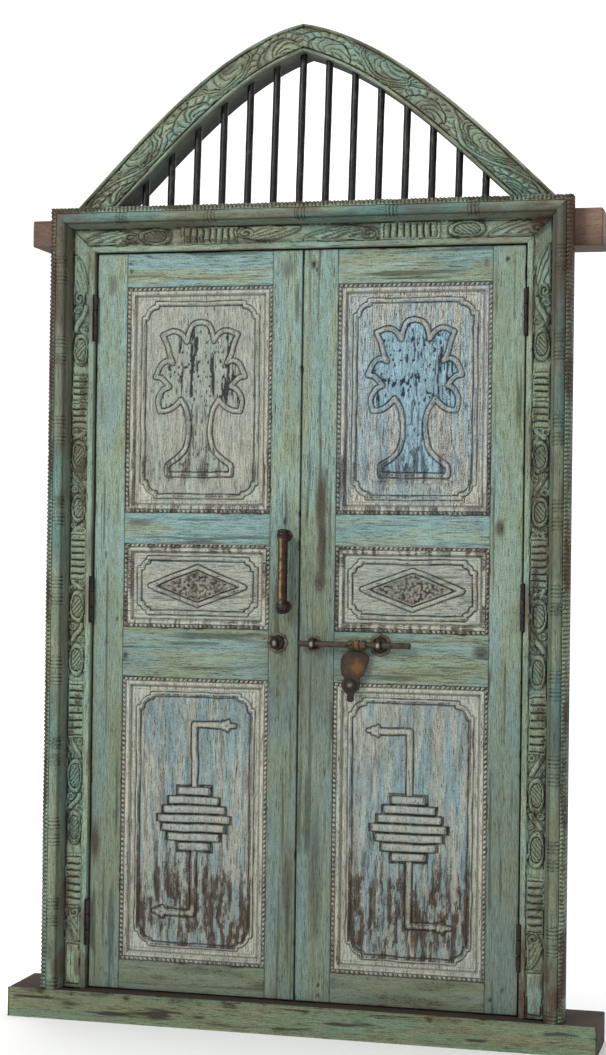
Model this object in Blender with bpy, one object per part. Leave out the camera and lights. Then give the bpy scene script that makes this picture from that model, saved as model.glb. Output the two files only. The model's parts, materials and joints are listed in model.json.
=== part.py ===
"""An Indian architectural door: a carved and painted pair of leaves in a carved frame, under a pointed arch.

The door stands on its threshold. X runs to the right along the door, -Y is the front and +Z is up. The
origin is at the middle of the underside of the threshold, and the leaves' front faces lie in the plane Y = 0.
The two leaves swing outward on iron butt hinges, a round bolt slides through iron eyes, and a hasp hangs from
the bolt.
"""

import math
from dataclasses import dataclass, field

import bmesh
import bpy
from mathutils import Matrix, Vector
from mathutils.geometry import delaunay_2d_cdt

# Clearances between pieces
TOUCH_GAP = 0.0003
LEAF_GAP = 0.005
TOP_GAP = 0.004
FLOOR_GAP = 0.0035
MEETING_GAP = 0.004
RUN_GAP = 0.0012

# Threshold
THRESHOLD_LENGTH = 1.434
THRESHOLD_HEIGHT = 0.070
THRESHOLD_FRONT = -0.052
THRESHOLD_BACK = 0.125
THRESHOLD_WEAR = 0.008

# Opening of the frame, inside the lips of the casing; its height follows the leaves
OPENING_WIDTH = 1.063

# Posts and lintel behind the casing
POST_WIDTH = 0.078
TIMBER_FRONT = 0.0103
TIMBER_BACK = 0.125
STOP_WIDTH = 0.013
LINTEL_HEIGHT = 0.084
HORN_REACH = 0.703
LEFT_HORN_DROP = -0.0195
RIGHT_HORN_DROP = 0.007

# Casing section, measured outward from the lip
LIP_WIDTH = 0.013
LIP_FRONT = -0.0125
BAND_WIDTH = 0.045
BAND_FRONT = -0.0075
COVE_WIDTH = 0.009
BEAD_WIDTH = 0.026
BEAD_SEAT = -0.032
NOTCH_WIDTH = 0.014
NOTCH_FRONT = -0.036
CASING_BACK = 0.010
BEAD_FACETS = 4
RING_STEP = 0.196
RING_WIDTH = 0.007
RING_HEIGHT = 0.0022
RING_SPACING = 0.014

# Arch
ARCH_APEX_X = -0.020
ARCH_RISE = 0.4590
ARCH_FOOT_WIDTH = 0.102
ARCH_APEX_DEPTH = 0.066
ARCH_LEFT_FOOT = -0.615
ARCH_RIGHT_FOOT = 0.623
ARCH_FRONT = 0.0146
ARCH_RELIEF = 0.0036
ARCH_STATIONS = 18
ARCH_RIM = 0.008
ARCH_SCROLLS = 5

# Window bars
BAR_COUNT = 14
BAR_RADIUS = 0.0095
BAR_DEPTH_Y = 0.049
BAR_FIRST_X = -0.424
BAR_PITCH = 0.0650
BAR_LEAN = 0.021
BAR_SIDES = 8

# Leaves
LEAF_THICKNESS = 0.038
MEETING_X = -0.008
HINGE_STILE_WIDTH = 0.0765
LEFT_MEETING_STILE = 0.072
RIGHT_MEETING_STILE = 0.085
TOP_RAIL = 0.083
TREE_PANEL = 0.549
FRIEZE_RAIL = 0.075
DIAMOND_PANEL = 0.204
LOCK_RAIL = 0.121
ROD_PANEL = 0.689
BOTTOM_RAIL = 0.0705
EDGE_CHAMFER = 0.0012

# Panels, measured back from the leaves' front
PANEL_FACE = 0.0105
PANEL_BACK = 0.030
MOULDING_WIDTH = 0.013
MOULDING_RISE = 0.0100
FILLET_WIDTH = 0.006
FILLET_RISE = 0.0055
GROOVE_WIDTH = 0.0036
GROOVE_DEPTH = 0.0018
CARVING_RISE = 0.0030
TREE_WIDTH = 0.220
TREE_HEIGHT = 0.360
DIAMOND_WIDTH = 0.240
DIAMOND_HEIGHT = 0.092
MEDALLION_WIDTH = 0.188
MEDALLION_HEIGHT = 0.156
ROD_WIDTH = 0.013
ROD_REACH = 0.235
ROD_ARM = 0.092
TALL_PANEL = 0.3
TALL_CARTOUCHE = (0.045, 0.034)
LOW_CARTOUCHE = (0.038, 0.022)

# Hinges
HINGE_AXIS_Y = -0.0068
KNUCKLE_RADIUS = 0.0055
HINGE_PIN_RADIUS = 0.0020
HINGE_HEIGHT = 0.110
HINGE_PLATE = 0.0011
HINGE_PLATE_DEPTH = 0.030
HINGE_FOOT_OFFSET = 0.1585
HINGE_HEAD_OFFSET = 0.157
HINGE_MIDDLE_LIFT = 0.066

# Bolt
BOLT_DROP = 0.029
BOLT_Y = -0.021
BOLT_RADIUS = 0.0072
BOLT_LENGTH = 0.274
BOLT_DRAWN_END = -0.005
BOLT_EYE_BORE = 0.0092
LEFT_EYE_X = -0.059
MIDDLE_EYE_X = 0.031
RIGHT_EYE_X = 0.192
EYE_RADIUS = 0.0150
EYE_WIDTH = 0.013
LEFT_ROSETTE_RADIUS = 0.0250
MIDDLE_ROSETTE_RADIUS = 0.0180
RIGHT_ROSETTE_RADIUS = 0.0270
ROSETTE_THICKNESS = 0.003
COLLAR_OFFSET = 0.123
COLLAR_WIDTH = 0.044
COLLAR_RADIUS = 0.0115
HASP_THICKNESS = 0.0045
HASP_LOOP_WIDTH = 0.012
HASP_LENGTH = 0.136
HASP_LEAN = 0.016
HASP_BOSS_DROP = 0.70

# Pull handle
HANDLE_X = -0.0405
HANDLE_LIFT = 0.070
HANDLE_LENGTH = 0.202
HANDLE_GRIP_RADIUS = 0.0108
HANDLE_SWELL_RADIUS = 0.0150
HANDLE_RING_RADIUS = 0.0126
HANDLE_REACH = 0.034
HANDLE_PLATE_RADIUS = 0.0145
HANDLE_SWELL_PLACE = 0.016

OPENING_HALF = OPENING_WIDTH / 2
LEAF_HEIGHT = TOP_RAIL + TREE_PANEL + FRIEZE_RAIL + DIAMOND_PANEL + LOCK_RAIL + ROD_PANEL + BOTTOM_RAIL
OPENING_HEIGHT = FLOOR_GAP + LEAF_HEIGHT + TOP_GAP
OPENING_TOP = THRESHOLD_HEIGHT + OPENING_HEIGHT
LEAF_BOTTOM = THRESHOLD_HEIGHT + FLOOR_GAP
LEAF_TOP = LEAF_BOTTOM + LEAF_HEIGHT
LOCK_RAIL_TOP = LEAF_BOTTOM + BOTTOM_RAIL + ROD_PANEL + LOCK_RAIL
BOLT_Z = LOCK_RAIL_TOP - BOLT_DROP
HANDLE_FOOT = BOLT_Z + HANDLE_LIFT
HINGE_HEIGHTS = (
    LEAF_BOTTOM + HINGE_FOOT_OFFSET, LOCK_RAIL_TOP + HINGE_MIDDLE_LIFT, LEAF_TOP - HINGE_HEAD_OFFSET,
)
LEAF_EDGE = OPENING_HALF - LEAF_GAP
HINGE_AXIS_X = OPENING_HALF - LEAF_GAP / 2
LINTEL_TOP = OPENING_TOP + LINTEL_HEIGHT
CASING_WIDTH = LIP_WIDTH + BAND_WIDTH + COVE_WIDTH + BEAD_WIDTH + NOTCH_WIDTH
CASING_TOP = OPENING_TOP + CASING_WIDTH
BAND_MIDDLE = LIP_WIDTH + BAND_WIDTH / 2
STOP_FRONT = LEAF_THICKNESS + 0.0025


@dataclass
class Finish:
    """The plain colour of one material."""

    name: str
    colour: tuple
    roughness: float
    metallic: float = 0.0


GREEN_WOOD = Finish("green_painted_wood", (0.35, 0.44, 0.35), 0.7)
SEA_GREEN_WOOD = Finish("sea_green_painted_wood", (0.42, 0.53, 0.45), 0.7)
CREAM_WOOD = Finish("cream_painted_wood", (0.62, 0.62, 0.55), 0.75)
BARE_WOOD = Finish("bare_wood", (0.36, 0.23, 0.17), 0.8)
DARK_IRON = Finish("dark_iron", (0.05, 0.05, 0.05), 0.5, 0.8)
RUSTY_IRON = Finish("rusty_iron", (0.20, 0.12, 0.08), 0.6, 0.6)


@dataclass
class Relief:
    """Points and edges of a carved face: each point has its place on the face and how far it stands out."""

    places: list = field(default_factory=list)
    rises: list = field(default_factory=list)
    edges: list = field(default_factory=list)

    def line(self, points, rise, closed=False):
        """Add a chain of points that all stand out by the same rise."""
        start = len(self.places)
        self.places += [Vector(point) for point in points]
        self.rises += [rise] * len(points)
        last = len(points) - 1
        self.edges += [(start + i, start + i + 1) for i in range(last)]
        if closed:
            self.edges.append((start + last, start))

    def loop(self, points, rise):
        """Add a closed chain of points."""
        self.line(points, rise, closed=True)

    def triangles(self):
        """The carved face as points, rises and triangles inside its outermost loop."""
        places, _, faces, origins, _, _ = delaunay_2d_cdt(self.places, self.edges, [], 1, 1e-7)
        rises = [self.rises[found[0]] if found else 0.0 for found in origins]
        return places, rises, faces


def clear_scene():
    """Remove every object of the startup scene."""
    for old in list(bpy.data.objects):
        bpy.data.objects.remove(old)


def material(finish):
    """The material of a finish, made once."""
    found = bpy.data.materials.get(finish.name)
    if found:
        return found
    made = bpy.data.materials.new(finish.name)
    made.use_nodes = True
    shader = made.node_tree.nodes["Principled BSDF"]
    shader.inputs["Base Color"].default_value = (*finish.colour, 1.0)
    shader.inputs["Roughness"].default_value = finish.roughness
    shader.inputs["Metallic"].default_value = finish.metallic
    return made


def add_object(name, shape, finish, parent=None):
    """Make a named object of a bmesh, facing outward, and hang it on its parent."""
    bmesh.ops.recalc_face_normals(shape, faces=shape.faces)
    mesh = bpy.data.meshes.new(name)
    if parent:
        shape.transform(parent.matrix_world.inverted())
    shape.to_mesh(mesh)
    shape.free()
    mesh.materials.append(material(finish))
    made = bpy.data.objects.new(name, mesh)
    bpy.context.scene.collection.objects.link(made)
    made.parent = parent
    return made


def pivot(name, place, parent=None):
    """An empty on a joint's axis, placed in the world."""
    made = bpy.data.objects.new(name, None)
    bpy.context.scene.collection.objects.link(made)
    made.parent = parent
    origin = parent.matrix_world.translation if parent else Vector()
    made.location = Vector(place) - origin
    bpy.context.view_layer.update()
    return made


def hide_helper(helper):
    """Keep a cutter or an added shape out of the model."""
    helper.hide_render = True
    helper.display_type = "WIRE"


def combine(base, helper, operation):
    """Join a helper to an object, or cut it out of the object."""
    step = base.modifiers.new(helper.name, "BOOLEAN")
    step.operation = operation
    step.object = helper
    step.solver = "EXACT"
    hide_helper(helper)


def chamfer(made, width=EDGE_CHAMFER):
    """Take off the arrises of a board."""
    step = made.modifiers.new("arris", "BEVEL")
    step.width = width
    step.segments = 1
    step.limit_method = "ANGLE"
    step.angle_limit = math.radians(40)


def box_shape(low, high):
    """A box between two corners."""
    shape = bmesh.new()
    middle = (Vector(low) + Vector(high)) / 2
    size = Vector(high) - Vector(low)
    bmesh.ops.create_cube(shape, size=1.0, matrix=Matrix.Translation(middle) @ Matrix.Diagonal((*size, 1.0)))
    return shape


def board(name, low, high, finish, parent=None):
    """A straight board with its arrises taken off."""
    made = add_object(name, box_shape(low, high), finish, parent)
    chamfer(made)
    return made


def extruded_shape(outline, start, end):
    """A prism: each outline point is turned into a start and an end corner."""
    shape = bmesh.new()
    ring = [shape.verts.new(start(point)) for point in outline]
    face = shape.faces.new(ring)
    pushed = bmesh.ops.extrude_face_region(shape, geom=[face])
    corners = [item for item in pushed["geom"] if isinstance(item, bmesh.types.BMVert)]
    moved = {tuple(start(point)): end(point) for point in outline}
    for corner in corners:
        nearest = min(moved, key=lambda place: (Vector(place) - corner.co).length)
        corner.co = moved[nearest]
    return shape


def turned_shape(profile, axis, origin, sides):
    """A solid turned about an axis: the profile lists distances along it and radii, with closed ends."""
    shape = bmesh.new()
    along = Vector(axis).normalized()
    across = along.orthogonal().normalized()
    other = along.cross(across)
    rings = []
    for distance, radius in profile:
        turns = [2 * math.pi * (side + 0.5) / sides for side in range(sides)]
        spokes = [across * math.cos(turn) + other * math.sin(turn) for turn in turns]
        middle = Vector(origin) + along * distance
        rings.append([shape.verts.new(middle + spoke * radius) for spoke in spokes])
    for first, second in zip(rings, rings[1:]):
        for side in range(sides):
            after = (side + 1) % sides
            shape.faces.new((first[side], first[after], second[after], second[side]))
    shape.faces.new(rings[0])
    shape.faces.new(rings[-1])
    return shape


def tube_shape(start, end, radius, bore, axis, origin, sides):
    """A short tube along an axis, open at both ends."""
    shape = bmesh.new()
    along = Vector(axis).normalized()
    across = along.orthogonal().normalized()
    other = along.cross(across)
    rings = []
    for distance, size in ((start, radius), (end, radius), (end, bore), (start, bore)):
        turns = [2 * math.pi * (side + 0.5) / sides for side in range(sides)]
        spokes = [across * math.cos(turn) + other * math.sin(turn) for turn in turns]
        rings.append([shape.verts.new(Vector(origin) + along * distance + spoke * size) for spoke in spokes])
    for index, first in enumerate(rings):
        second = rings[(index + 1) % len(rings)]
        for side in range(sides):
            after = (side + 1) % sides
            shape.faces.new((first[side], first[after], second[after], second[side]))
    return shape


def ellipse(centre, half_x, half_y, count):
    """Points round an ellipse."""
    turns = [2 * math.pi * (step + 0.5) / count for step in range(count)]
    return [(centre[0] + half_x * math.cos(turn), centre[1] + half_y * math.sin(turn)) for turn in turns]


def rectangle(low, high):
    """The corners of a rectangle."""
    return [(low[0], low[1]), (high[0], low[1]), (high[0], high[1]), (low[0], high[1])]


def closed_carving(relief, place, back):
    """A solid with a carved front: place puts a face point and its rise in space, back moves it behind."""
    shape = bmesh.new()
    places, rises, faces = relief.triangles()
    front = [shape.verts.new(place(point, rise)) for point, rise in zip(places, rises)]
    for corners in faces:
        shape.faces.new([front[index] for index in corners])
    border = [edge for edge in shape.edges if edge.is_boundary]
    follows = {}
    for edge in border:
        loop = edge.link_loops[0]
        follows[loop.vert] = loop.link_loop_next.vert
    behind = {vert: shape.verts.new(back(vert.co)) for vert in follows}
    for vert, after in follows.items():
        shape.faces.new((after, vert, behind[vert], behind[after]))
    first = next(iter(follows))
    ring = [first]
    while follows[ring[-1]] is not first:
        ring.append(follows[ring[-1]])
    after = ring[1:] + ring[:1]
    bent = [here for index, here in enumerate(ring) if turns_at(ring[index - 1], here, after[index], back)]
    if len(bent) == len(ring):
        shape.faces.new([behind[vert] for vert in ring])
    else:
        fill_ring(shape, [behind[vert] for vert in ring])
    return shape


def turns_at(before, here, after, back):
    """Whether the outline of the back turns at this point."""
    arriving = back(here.co) - back(before.co)
    leaving = back(after.co) - back(here.co)
    return arriving.cross(leaving).length > 1e-9


def fill_ring(shape, ring):
    """Fill a flat ring of points that has several points along its straight sides."""
    edges = []
    for index, vert in enumerate(ring):
        other = ring[(index + 1) % len(ring)]
        edges.append(shape.edges.get((vert, other)) or shape.edges.new((vert, other)))
    bmesh.ops.triangle_fill(shape, edges=edges, use_beauty=True)


def casing_section():
    """Corner points of the casing's front, as distances outward from the lip and places in Y."""
    points = [(0.0, LIP_FRONT), (LIP_WIDTH, LIP_FRONT), (LIP_WIDTH + 0.0015, BAND_FRONT)]
    band_end = LIP_WIDTH + BAND_WIDTH
    points += [(band_end, BAND_FRONT), (band_end + COVE_WIDTH * 0.45, BAND_FRONT - 0.008)]
    bead_start = band_end + COVE_WIDTH
    radius = BEAD_WIDTH / 2
    for facet in range(BEAD_FACETS + 1):
        turn = math.pi * facet / BEAD_FACETS
        points.append((bead_start + radius - radius * math.cos(turn), BEAD_SEAT - radius * math.sin(turn)))
    points += [(bead_start + BEAD_WIDTH + 0.001, NOTCH_FRONT), (CASING_WIDTH, NOTCH_FRONT)]
    return points


class CasingCarving:
    """Carved motifs laid out along a casing, in distances outward from the lip and along the casing."""

    def __init__(self):
        self.relief = Relief()
        self.half = BAND_WIDTH / 2 - 0.005

    def oval(self, start, end):
        """An outlined oval with a low hatched middle."""
        middle = (start + end) / 2
        half = (end - start) / 2
        for share, rise in ((1.0, 0.0), (0.86, 1.0), (0.66, 1.0), (0.52, 0.3)):
            self.relief.loop(ellipse((BAND_MIDDLE, middle), self.half * share, half * share, 10), rise)

    def reeds(self, start, end):
        """A row of short rounded reeds across the band."""
        count = max(2, round((end - start) / 0.0165))
        pitch = (end - start) / count
        for reed in range(count):
            low = start + pitch * reed + 0.0012
            high = start + pitch * (reed + 1) - 0.0012
            inner = BAND_MIDDLE - self.half
            outer = BAND_MIDDLE + self.half
            self.relief.loop(rectangle((inner, low), (outer, high)), 0.0)
            self.relief.line([(inner + 0.003, (low + high) / 2), (outer - 0.003, (low + high) / 2)], 1.0)

    def wave(self, start, end, side):
        """A curved stem that crosses the band from one side to the other."""
        count = 6
        rim = [[], []]
        crest = []
        for step in range(count + 1):
            share = step / count
            along = start + (end - start) * share
            across = BAND_MIDDLE + side * self.half * 0.8 * math.cos(math.pi * share)
            width = 0.0012 + 0.0040 * math.sin(math.pi * share)
            rim[0].append((across, along - width))
            rim[1].append((across, along + width))
            if 0 < step < count:
                crest.append((across, along))
        self.relief.loop(rim[0] + rim[1][::-1], 0.0)
        self.relief.line(crest, 1.0)

    def leaf(self, start, end, side):
        """A fan leaf: a curved spine along one side of the band with lobes that reach across it."""
        lobes = 4
        root = BAND_MIDDLE - side * self.half
        tips = []
        crests = []
        for step in range(2 * lobes + 1):
            share = step / (2 * lobes)
            along = start + (end - start) * share
            reach = 2 * self.half * math.sin(math.pi * (0.12 + 0.76 * share)) ** 0.6
            is_tip = step % 2 == 1
            across = root + side * reach * (1.0 if is_tip else 0.62)
            tips.append((across, along))
            if is_tip:
                spring = (root + side * 0.006, start + (end - start) * (0.2 + 0.6 * share))
                crests.append([spring, (root + side * reach * 0.8, along)])
        self.relief.loop(tips + [(root, end), (root, start)], 0.0)
        for crest in crests:
            self.relief.line(crest, 1.0)

    def rings(self, places):
        """Groups of three turned rings on the bead."""
        bead = [point[0] for point in casing_section()[5:6 + BEAD_FACETS]]
        for place in places:
            for ring in (-1, 0, 1):
                low = place + ring * RING_SPACING - RING_WIDTH / 2
                for along, rise in ((low, 0.0), (low + RING_WIDTH / 2, 2.0), (low + RING_WIDTH, 0.0)):
                    start = len(self.relief.places)
                    self.relief.line([(across, along) for across in bead], rise)
                    self.relief.rises[start] = 0.0
                    self.relief.rises[-1] = 0.0


def casing_shape(carving, length, start_mitre, end_mitre, to_world, bottom=0.0):
    """A casing board: its section run along its length, mitred at the ends that are named."""
    section = casing_section()
    relief = Relief()
    first = [(across, bottom - across * start_mitre) for across, _ in section]
    last = [(across, length + across * end_mitre) for across, _ in section]
    for low, high in zip(first, last):
        relief.line([low, high], 0.0)
    relief.line(first, 0.0)
    relief.line(last, 0.0)
    offset = len(relief.places)
    relief.places += [Vector(place) for place in carving.relief.places]
    relief.rises += carving.relief.rises
    relief.edges += [(a + offset, b + offset) for a, b in carving.relief.edges]

    def depth(across):
        for (x0, y0), (x1, y1) in zip(section, section[1:]):
            if across <= x1 + 1e-7:
                share = min(1.0, max(0.0, (across - x0) / (x1 - x0)))
                return y0 + (y1 - y0) * share
        return section[-1][1]

    def place(point, rise):
        stand = rise / 2 * RING_HEIGHT if rise > 1.0 else rise * CARVING_RISE
        return to_world(point[0], depth(point[0]) - stand, point[1])

    def back(corner):
        return Vector((corner.x, CASING_BACK, corner.z))

    return closed_carving(relief, place, back)


def jamb_carving():
    """The motifs of a jamb, laid out downward from the top of the opening."""
    drops = (
        ("leaf", 0.010, 0.122, 1), ("wave", 0.131, 0.190, 1), ("oval", 0.198, 0.276, 0),
        ("reeds", 0.303, 0.362, 0), ("reeds", 0.370, 0.433, 0), ("oval", 0.462, 0.535, 0),
        ("wave", 0.543, 0.585, -1), ("oval", 0.592, 0.660, 0), ("reeds", 0.690, 0.802, 0),
        ("oval", 0.829, 0.905, 0), ("wave", 0.915, 0.950, 1), ("oval", 0.958, 1.037, 0),
        ("reeds", 1.056, 1.183, 0), ("wave", 1.194, 1.234, -1), ("oval", 1.242, 1.323, 0),
        ("wave", 1.330, 1.362, 1), ("oval", 1.368, 1.450, 0), ("reeds", 1.484, 1.599, 0),
        ("leaf", 1.610, 1.682, -1),
    )
    carving = CasingCarving()
    for kind, top, foot, side in drops:
        start = OPENING_TOP - foot
        end = OPENING_TOP - top
        if start > THRESHOLD_HEIGHT + 0.01:
            carve(carving, kind, start, end, side)
    count = int((OPENING_HEIGHT - 0.1) / RING_STEP) + 1
    carving.rings([OPENING_TOP - 0.045 - RING_STEP * index for index in range(count)])
    return carving


def head_carving():
    """The motifs of the head casing, laid out from its left end in places along X."""
    places = (
        ("leaf", -0.545, -0.428, -1), ("oval", -0.415, -0.340, 0), ("reeds", -0.305, -0.177, 0),
        ("leaf", -0.165, -0.016, -1), ("leaf", 0.000, 0.172, -1), ("reeds", 0.190, 0.318, 0),
        ("oval", 0.350, 0.430, 0), ("leaf", 0.443, 0.560, -1),
    )
    carving = CasingCarving()
    for kind, start, end, side in places:
        if max(abs(start), abs(end)) < OPENING_HALF + LIP_WIDTH + BAND_WIDTH:
            carve(carving, kind, start, end, side)
    carving.rings((-0.232, -0.008, 0.214, 0.408))
    return carving


def carve(carving, kind, start, end, side):
    """Add one motif by its name."""
    if kind == "oval":
        carving.oval(start, end)
    elif kind == "reeds":
        carving.reeds(start, end)
    elif kind == "wave":
        carving.wave(start, end, side)
    else:
        carving.leaf(start, end, side)


def knuckle_cutter(name, side, height):
    """The notch in the casing's lip that lets a hinge's knuckles in."""
    reach = KNUCKLE_RADIUS + RUN_GAP
    low = (side * HINGE_AXIS_X - reach, HINGE_AXIS_Y - 2 * reach, height - HINGE_HEIGHT / 2 - RUN_GAP)
    high = (side * HINGE_AXIS_X + reach, HINGE_AXIS_Y + reach, height + HINGE_HEIGHT / 2 + RUN_GAP)
    return add_object(name, box_shape(low, high), BARE_WOOD)


def make_casings():
    """The carved jamb casings and the head casing, mitred at the top corners."""
    for side, label in ((-1, "left"), (1, "right")):

        def to_world(across, depth, along, side=side):
            return Vector((side * (OPENING_HALF + across), depth, along))

        shape = casing_shape(jamb_carving(), OPENING_TOP - TOUCH_GAP, 0.0, 1.0, to_world,
                             THRESHOLD_HEIGHT + TOUCH_GAP)
        casing = add_object(f"casing_{label}", shape, GREEN_WOOD)
        for index, height in enumerate(HINGE_HEIGHTS):
            combine(casing, knuckle_cutter(f"notch_{label}_{index + 1}", side, height), "DIFFERENCE")

    def head_to_world(across, depth, along):
        return Vector((along, depth, OPENING_TOP + across))

    shape = casing_shape(head_carving(), OPENING_HALF - TOUCH_GAP, 1.0, 1.0, head_to_world,
                         TOUCH_GAP - OPENING_HALF)
    add_object("casing_head", shape, GREEN_WOOD)


def make_threshold():
    """The threshold beam, its front arris worn down where people step."""
    half = THRESHOLD_LENGTH / 2
    shape = bmesh.new()
    stations = 9
    rings = []
    for index in range(stations):
        along = -half + THRESHOLD_LENGTH * index / (stations - 1)
        worn = THRESHOLD_WEAR * (0.25 + 0.75 * math.cos(math.pi * along / THRESHOLD_LENGTH) ** 2)
        section = ((THRESHOLD_BACK, 0.0), (THRESHOLD_FRONT, 0.0), (THRESHOLD_FRONT, THRESHOLD_HEIGHT - worn),
                   (THRESHOLD_FRONT + worn * 1.4, THRESHOLD_HEIGHT), (THRESHOLD_BACK, THRESHOLD_HEIGHT))
        rings.append([shape.verts.new((along, depth, height)) for depth, height in section])
    for first, second in zip(rings, rings[1:]):
        for corner in range(5):
            after = (corner + 1) % 5
            shape.faces.new((first[corner], first[after], second[after], second[corner]))
    shape.faces.new(rings[0])
    shape.faces.new(rings[-1])
    add_object("threshold", shape, SEA_GREEN_WOOD)


def make_timbers():
    """The posts with their stops, and the lintel with its two horns."""
    foot = THRESHOLD_HEIGHT + TOUCH_GAP
    for side, label in ((-1, "left"), (1, "right")):
        inner = OPENING_HALF
        outer = OPENING_HALF + POST_WIDTH
        stop = OPENING_HALF - STOP_WIDTH
        outline = ((inner, TIMBER_FRONT), (outer, TIMBER_FRONT), (outer, TIMBER_BACK), (stop, TIMBER_BACK),
                   (stop, STOP_FRONT), (inner, STOP_FRONT))
        head = OPENING_TOP - STOP_WIDTH - TOUCH_GAP
        shape = extruded_shape(outline, lambda p, s=side: Vector((s * p[0], p[1], foot)),
                               lambda p, s=side, z=head: Vector((s * p[0], p[1], z)))
        add_object(f"post_{label}", shape, BARE_WOOD)
    outer = OPENING_HALF + POST_WIDTH
    below = OPENING_TOP - STOP_WIDTH
    left_foot = OPENING_TOP - LEFT_HORN_DROP
    right_foot = OPENING_TOP - RIGHT_HORN_DROP
    outline = ((-outer, below), (outer, below), (outer, right_foot), (HORN_REACH, right_foot),
               (HORN_REACH, LINTEL_TOP - 0.003), (-HORN_REACH, LINTEL_TOP), (-HORN_REACH, left_foot),
               (-outer, left_foot))
    shape = extruded_shape(outline, lambda p: Vector((p[0], TIMBER_FRONT, p[1])),
                           lambda p: Vector((p[0], TIMBER_BACK, p[1])))
    lintel = add_object("lintel", shape, BARE_WOOD)
    low = (-OPENING_HALF, TIMBER_FRONT - 0.01, below - 0.01)
    high = (OPENING_HALF, STOP_FRONT, OPENING_TOP)
    combine(lintel, add_object("lintel_rebate", box_shape(low, high), BARE_WOOD), "DIFFERENCE")


@dataclass(frozen=True)
class ArchCurve:
    """One edge of an arch half: a curve from the foot to the apex, as shares of its run and its rise."""

    foot_x: float
    rise: float
    foot_pull: float
    foot_slope: float
    apex_pull: float
    apex_slope: float

    def point(self, share):
        """The point at this share of the curve."""
        controls = ((0.0, 0.0), (self.foot_pull, self.foot_pull * self.foot_slope),
                    (1 - self.apex_pull, 1 - self.apex_pull * self.apex_slope), (1.0, 1.0))
        weights = ((1 - share) ** 3, 3 * share * (1 - share) ** 2, 3 * share ** 2 * (1 - share), share ** 3)
        run = sum(weight * control[0] for weight, control in zip(weights, controls))
        up = sum(weight * control[1] for weight, control in zip(weights, controls))
        height = LINTEL_TOP + TOUCH_GAP + self.rise * up
        return Vector((self.foot_x + (ARCH_APEX_X - self.foot_x) * run, height))


def arch_curves(side):
    """The outer and the inner edge of an arch half."""
    foot = ARCH_LEFT_FOOT if side < 0 else ARCH_RIGHT_FOOT
    outer = ArchCurve(foot, ARCH_RISE, 0.252, 1.31, 0.376, 0.251)
    inner = ArchCurve(foot - side * ARCH_FOOT_WIDTH, ARCH_RISE - ARCH_APEX_DEPTH, 0.332, 1.22, 0.375, 0.409)
    return outer, inner


def soffit_height(x):
    """The height of the arch's inner edge over a place in X, as its facets have it."""
    _, inner = arch_curves(-1 if x < ARCH_APEX_X else 1)
    points = [inner.point(step / ARCH_STATIONS) for step in range(ARCH_STATIONS + 1)]
    for low, high in zip(points, points[1:]):
        if min(low.x, high.x) <= x <= max(low.x, high.x):
            return low.y + (high.y - low.y) * (x - low.x) / (high.x - low.x)
    return points[0].y


def arch_place(side, along, across):
    """A point of the arch's face: along runs from foot to apex, across from the inner to the outer edge."""
    outer, inner = arch_curves(side)
    return inner.point(along).lerp(outer.point(along), across)


def make_arch():
    """The two halves of the arch, carved with leaf scrolls between raised rims."""
    for side, label in ((-1, "left"), (1, "right")):
        relief = Relief()
        shares = [step / ARCH_STATIONS for step in range(ARCH_STATIONS + 1)]
        rows = [[arch_place(side, share, across) for share in shares] for across in (0.0, 1.0)]
        relief.loop(rows[0] + rows[1][::-1], 0.0)
        rim = ARCH_RIM / (ARCH_FOOT_WIDTH * 0.7)
        rims = ((0.02, 1.0), (rim, 1.0), (rim + 0.04, 0.0), (0.98, 1.0), (1 - rim, 1.0), (0.96 - rim, 0.0))
        for across, rise in rims:
            relief.line([arch_place(side, 0.015 + 0.965 * share, across) for share in shares], rise)
        for scroll in range(ARCH_SCROLLS):
            add_scroll(relief, side, scroll)

        def place(point, rise):
            return Vector((point[0], ARCH_FRONT - rise * ARCH_RELIEF, point[1]))

        def back(corner):
            return Vector((corner.x, TIMBER_BACK, corner.z))

        shape = closed_carving(relief, place, back)
        gap = Matrix.Translation((side * TOUCH_GAP / 2, 0.0, 0.0))
        shape.transform(gap)
        add_object(f"arch_{label}", shape, GREEN_WOOD)


def add_scroll(relief, side, scroll):
    """A fan of lobes that springs from one rim, in turn from the inner and from the outer one."""
    start = 0.06 + 0.185 * scroll
    end = start + 0.165
    lobes = 5
    inward = scroll % 2 == 0
    outline = []
    crests = []
    for step in range(2 * lobes + 1):
        share = step / (2 * lobes)
        is_tip = step % 2 == 1
        reach = 0.56 * math.sin(math.pi * (0.1 + 0.8 * share)) ** 0.7 * (1.0 if is_tip else 0.78)
        across = 0.19 + reach if inward else 0.81 - reach
        along = start + (end - start) * share
        outline.append(arch_place(side, along, across))
        if is_tip:
            foot = 0.25 if inward else 0.75
            spring = arch_place(side, start + (end - start) * (0.3 + 0.4 * share), foot)
            crests.append([spring, spring.lerp(outline[-1], 0.8)])
    root = 0.19 if inward else 0.81
    outline += [arch_place(side, end - 0.012, root), arch_place(side, start + 0.012, root)]
    relief.loop(outline, 0.0)
    for crest in crests:
        relief.line(crest, 1.0)


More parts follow.
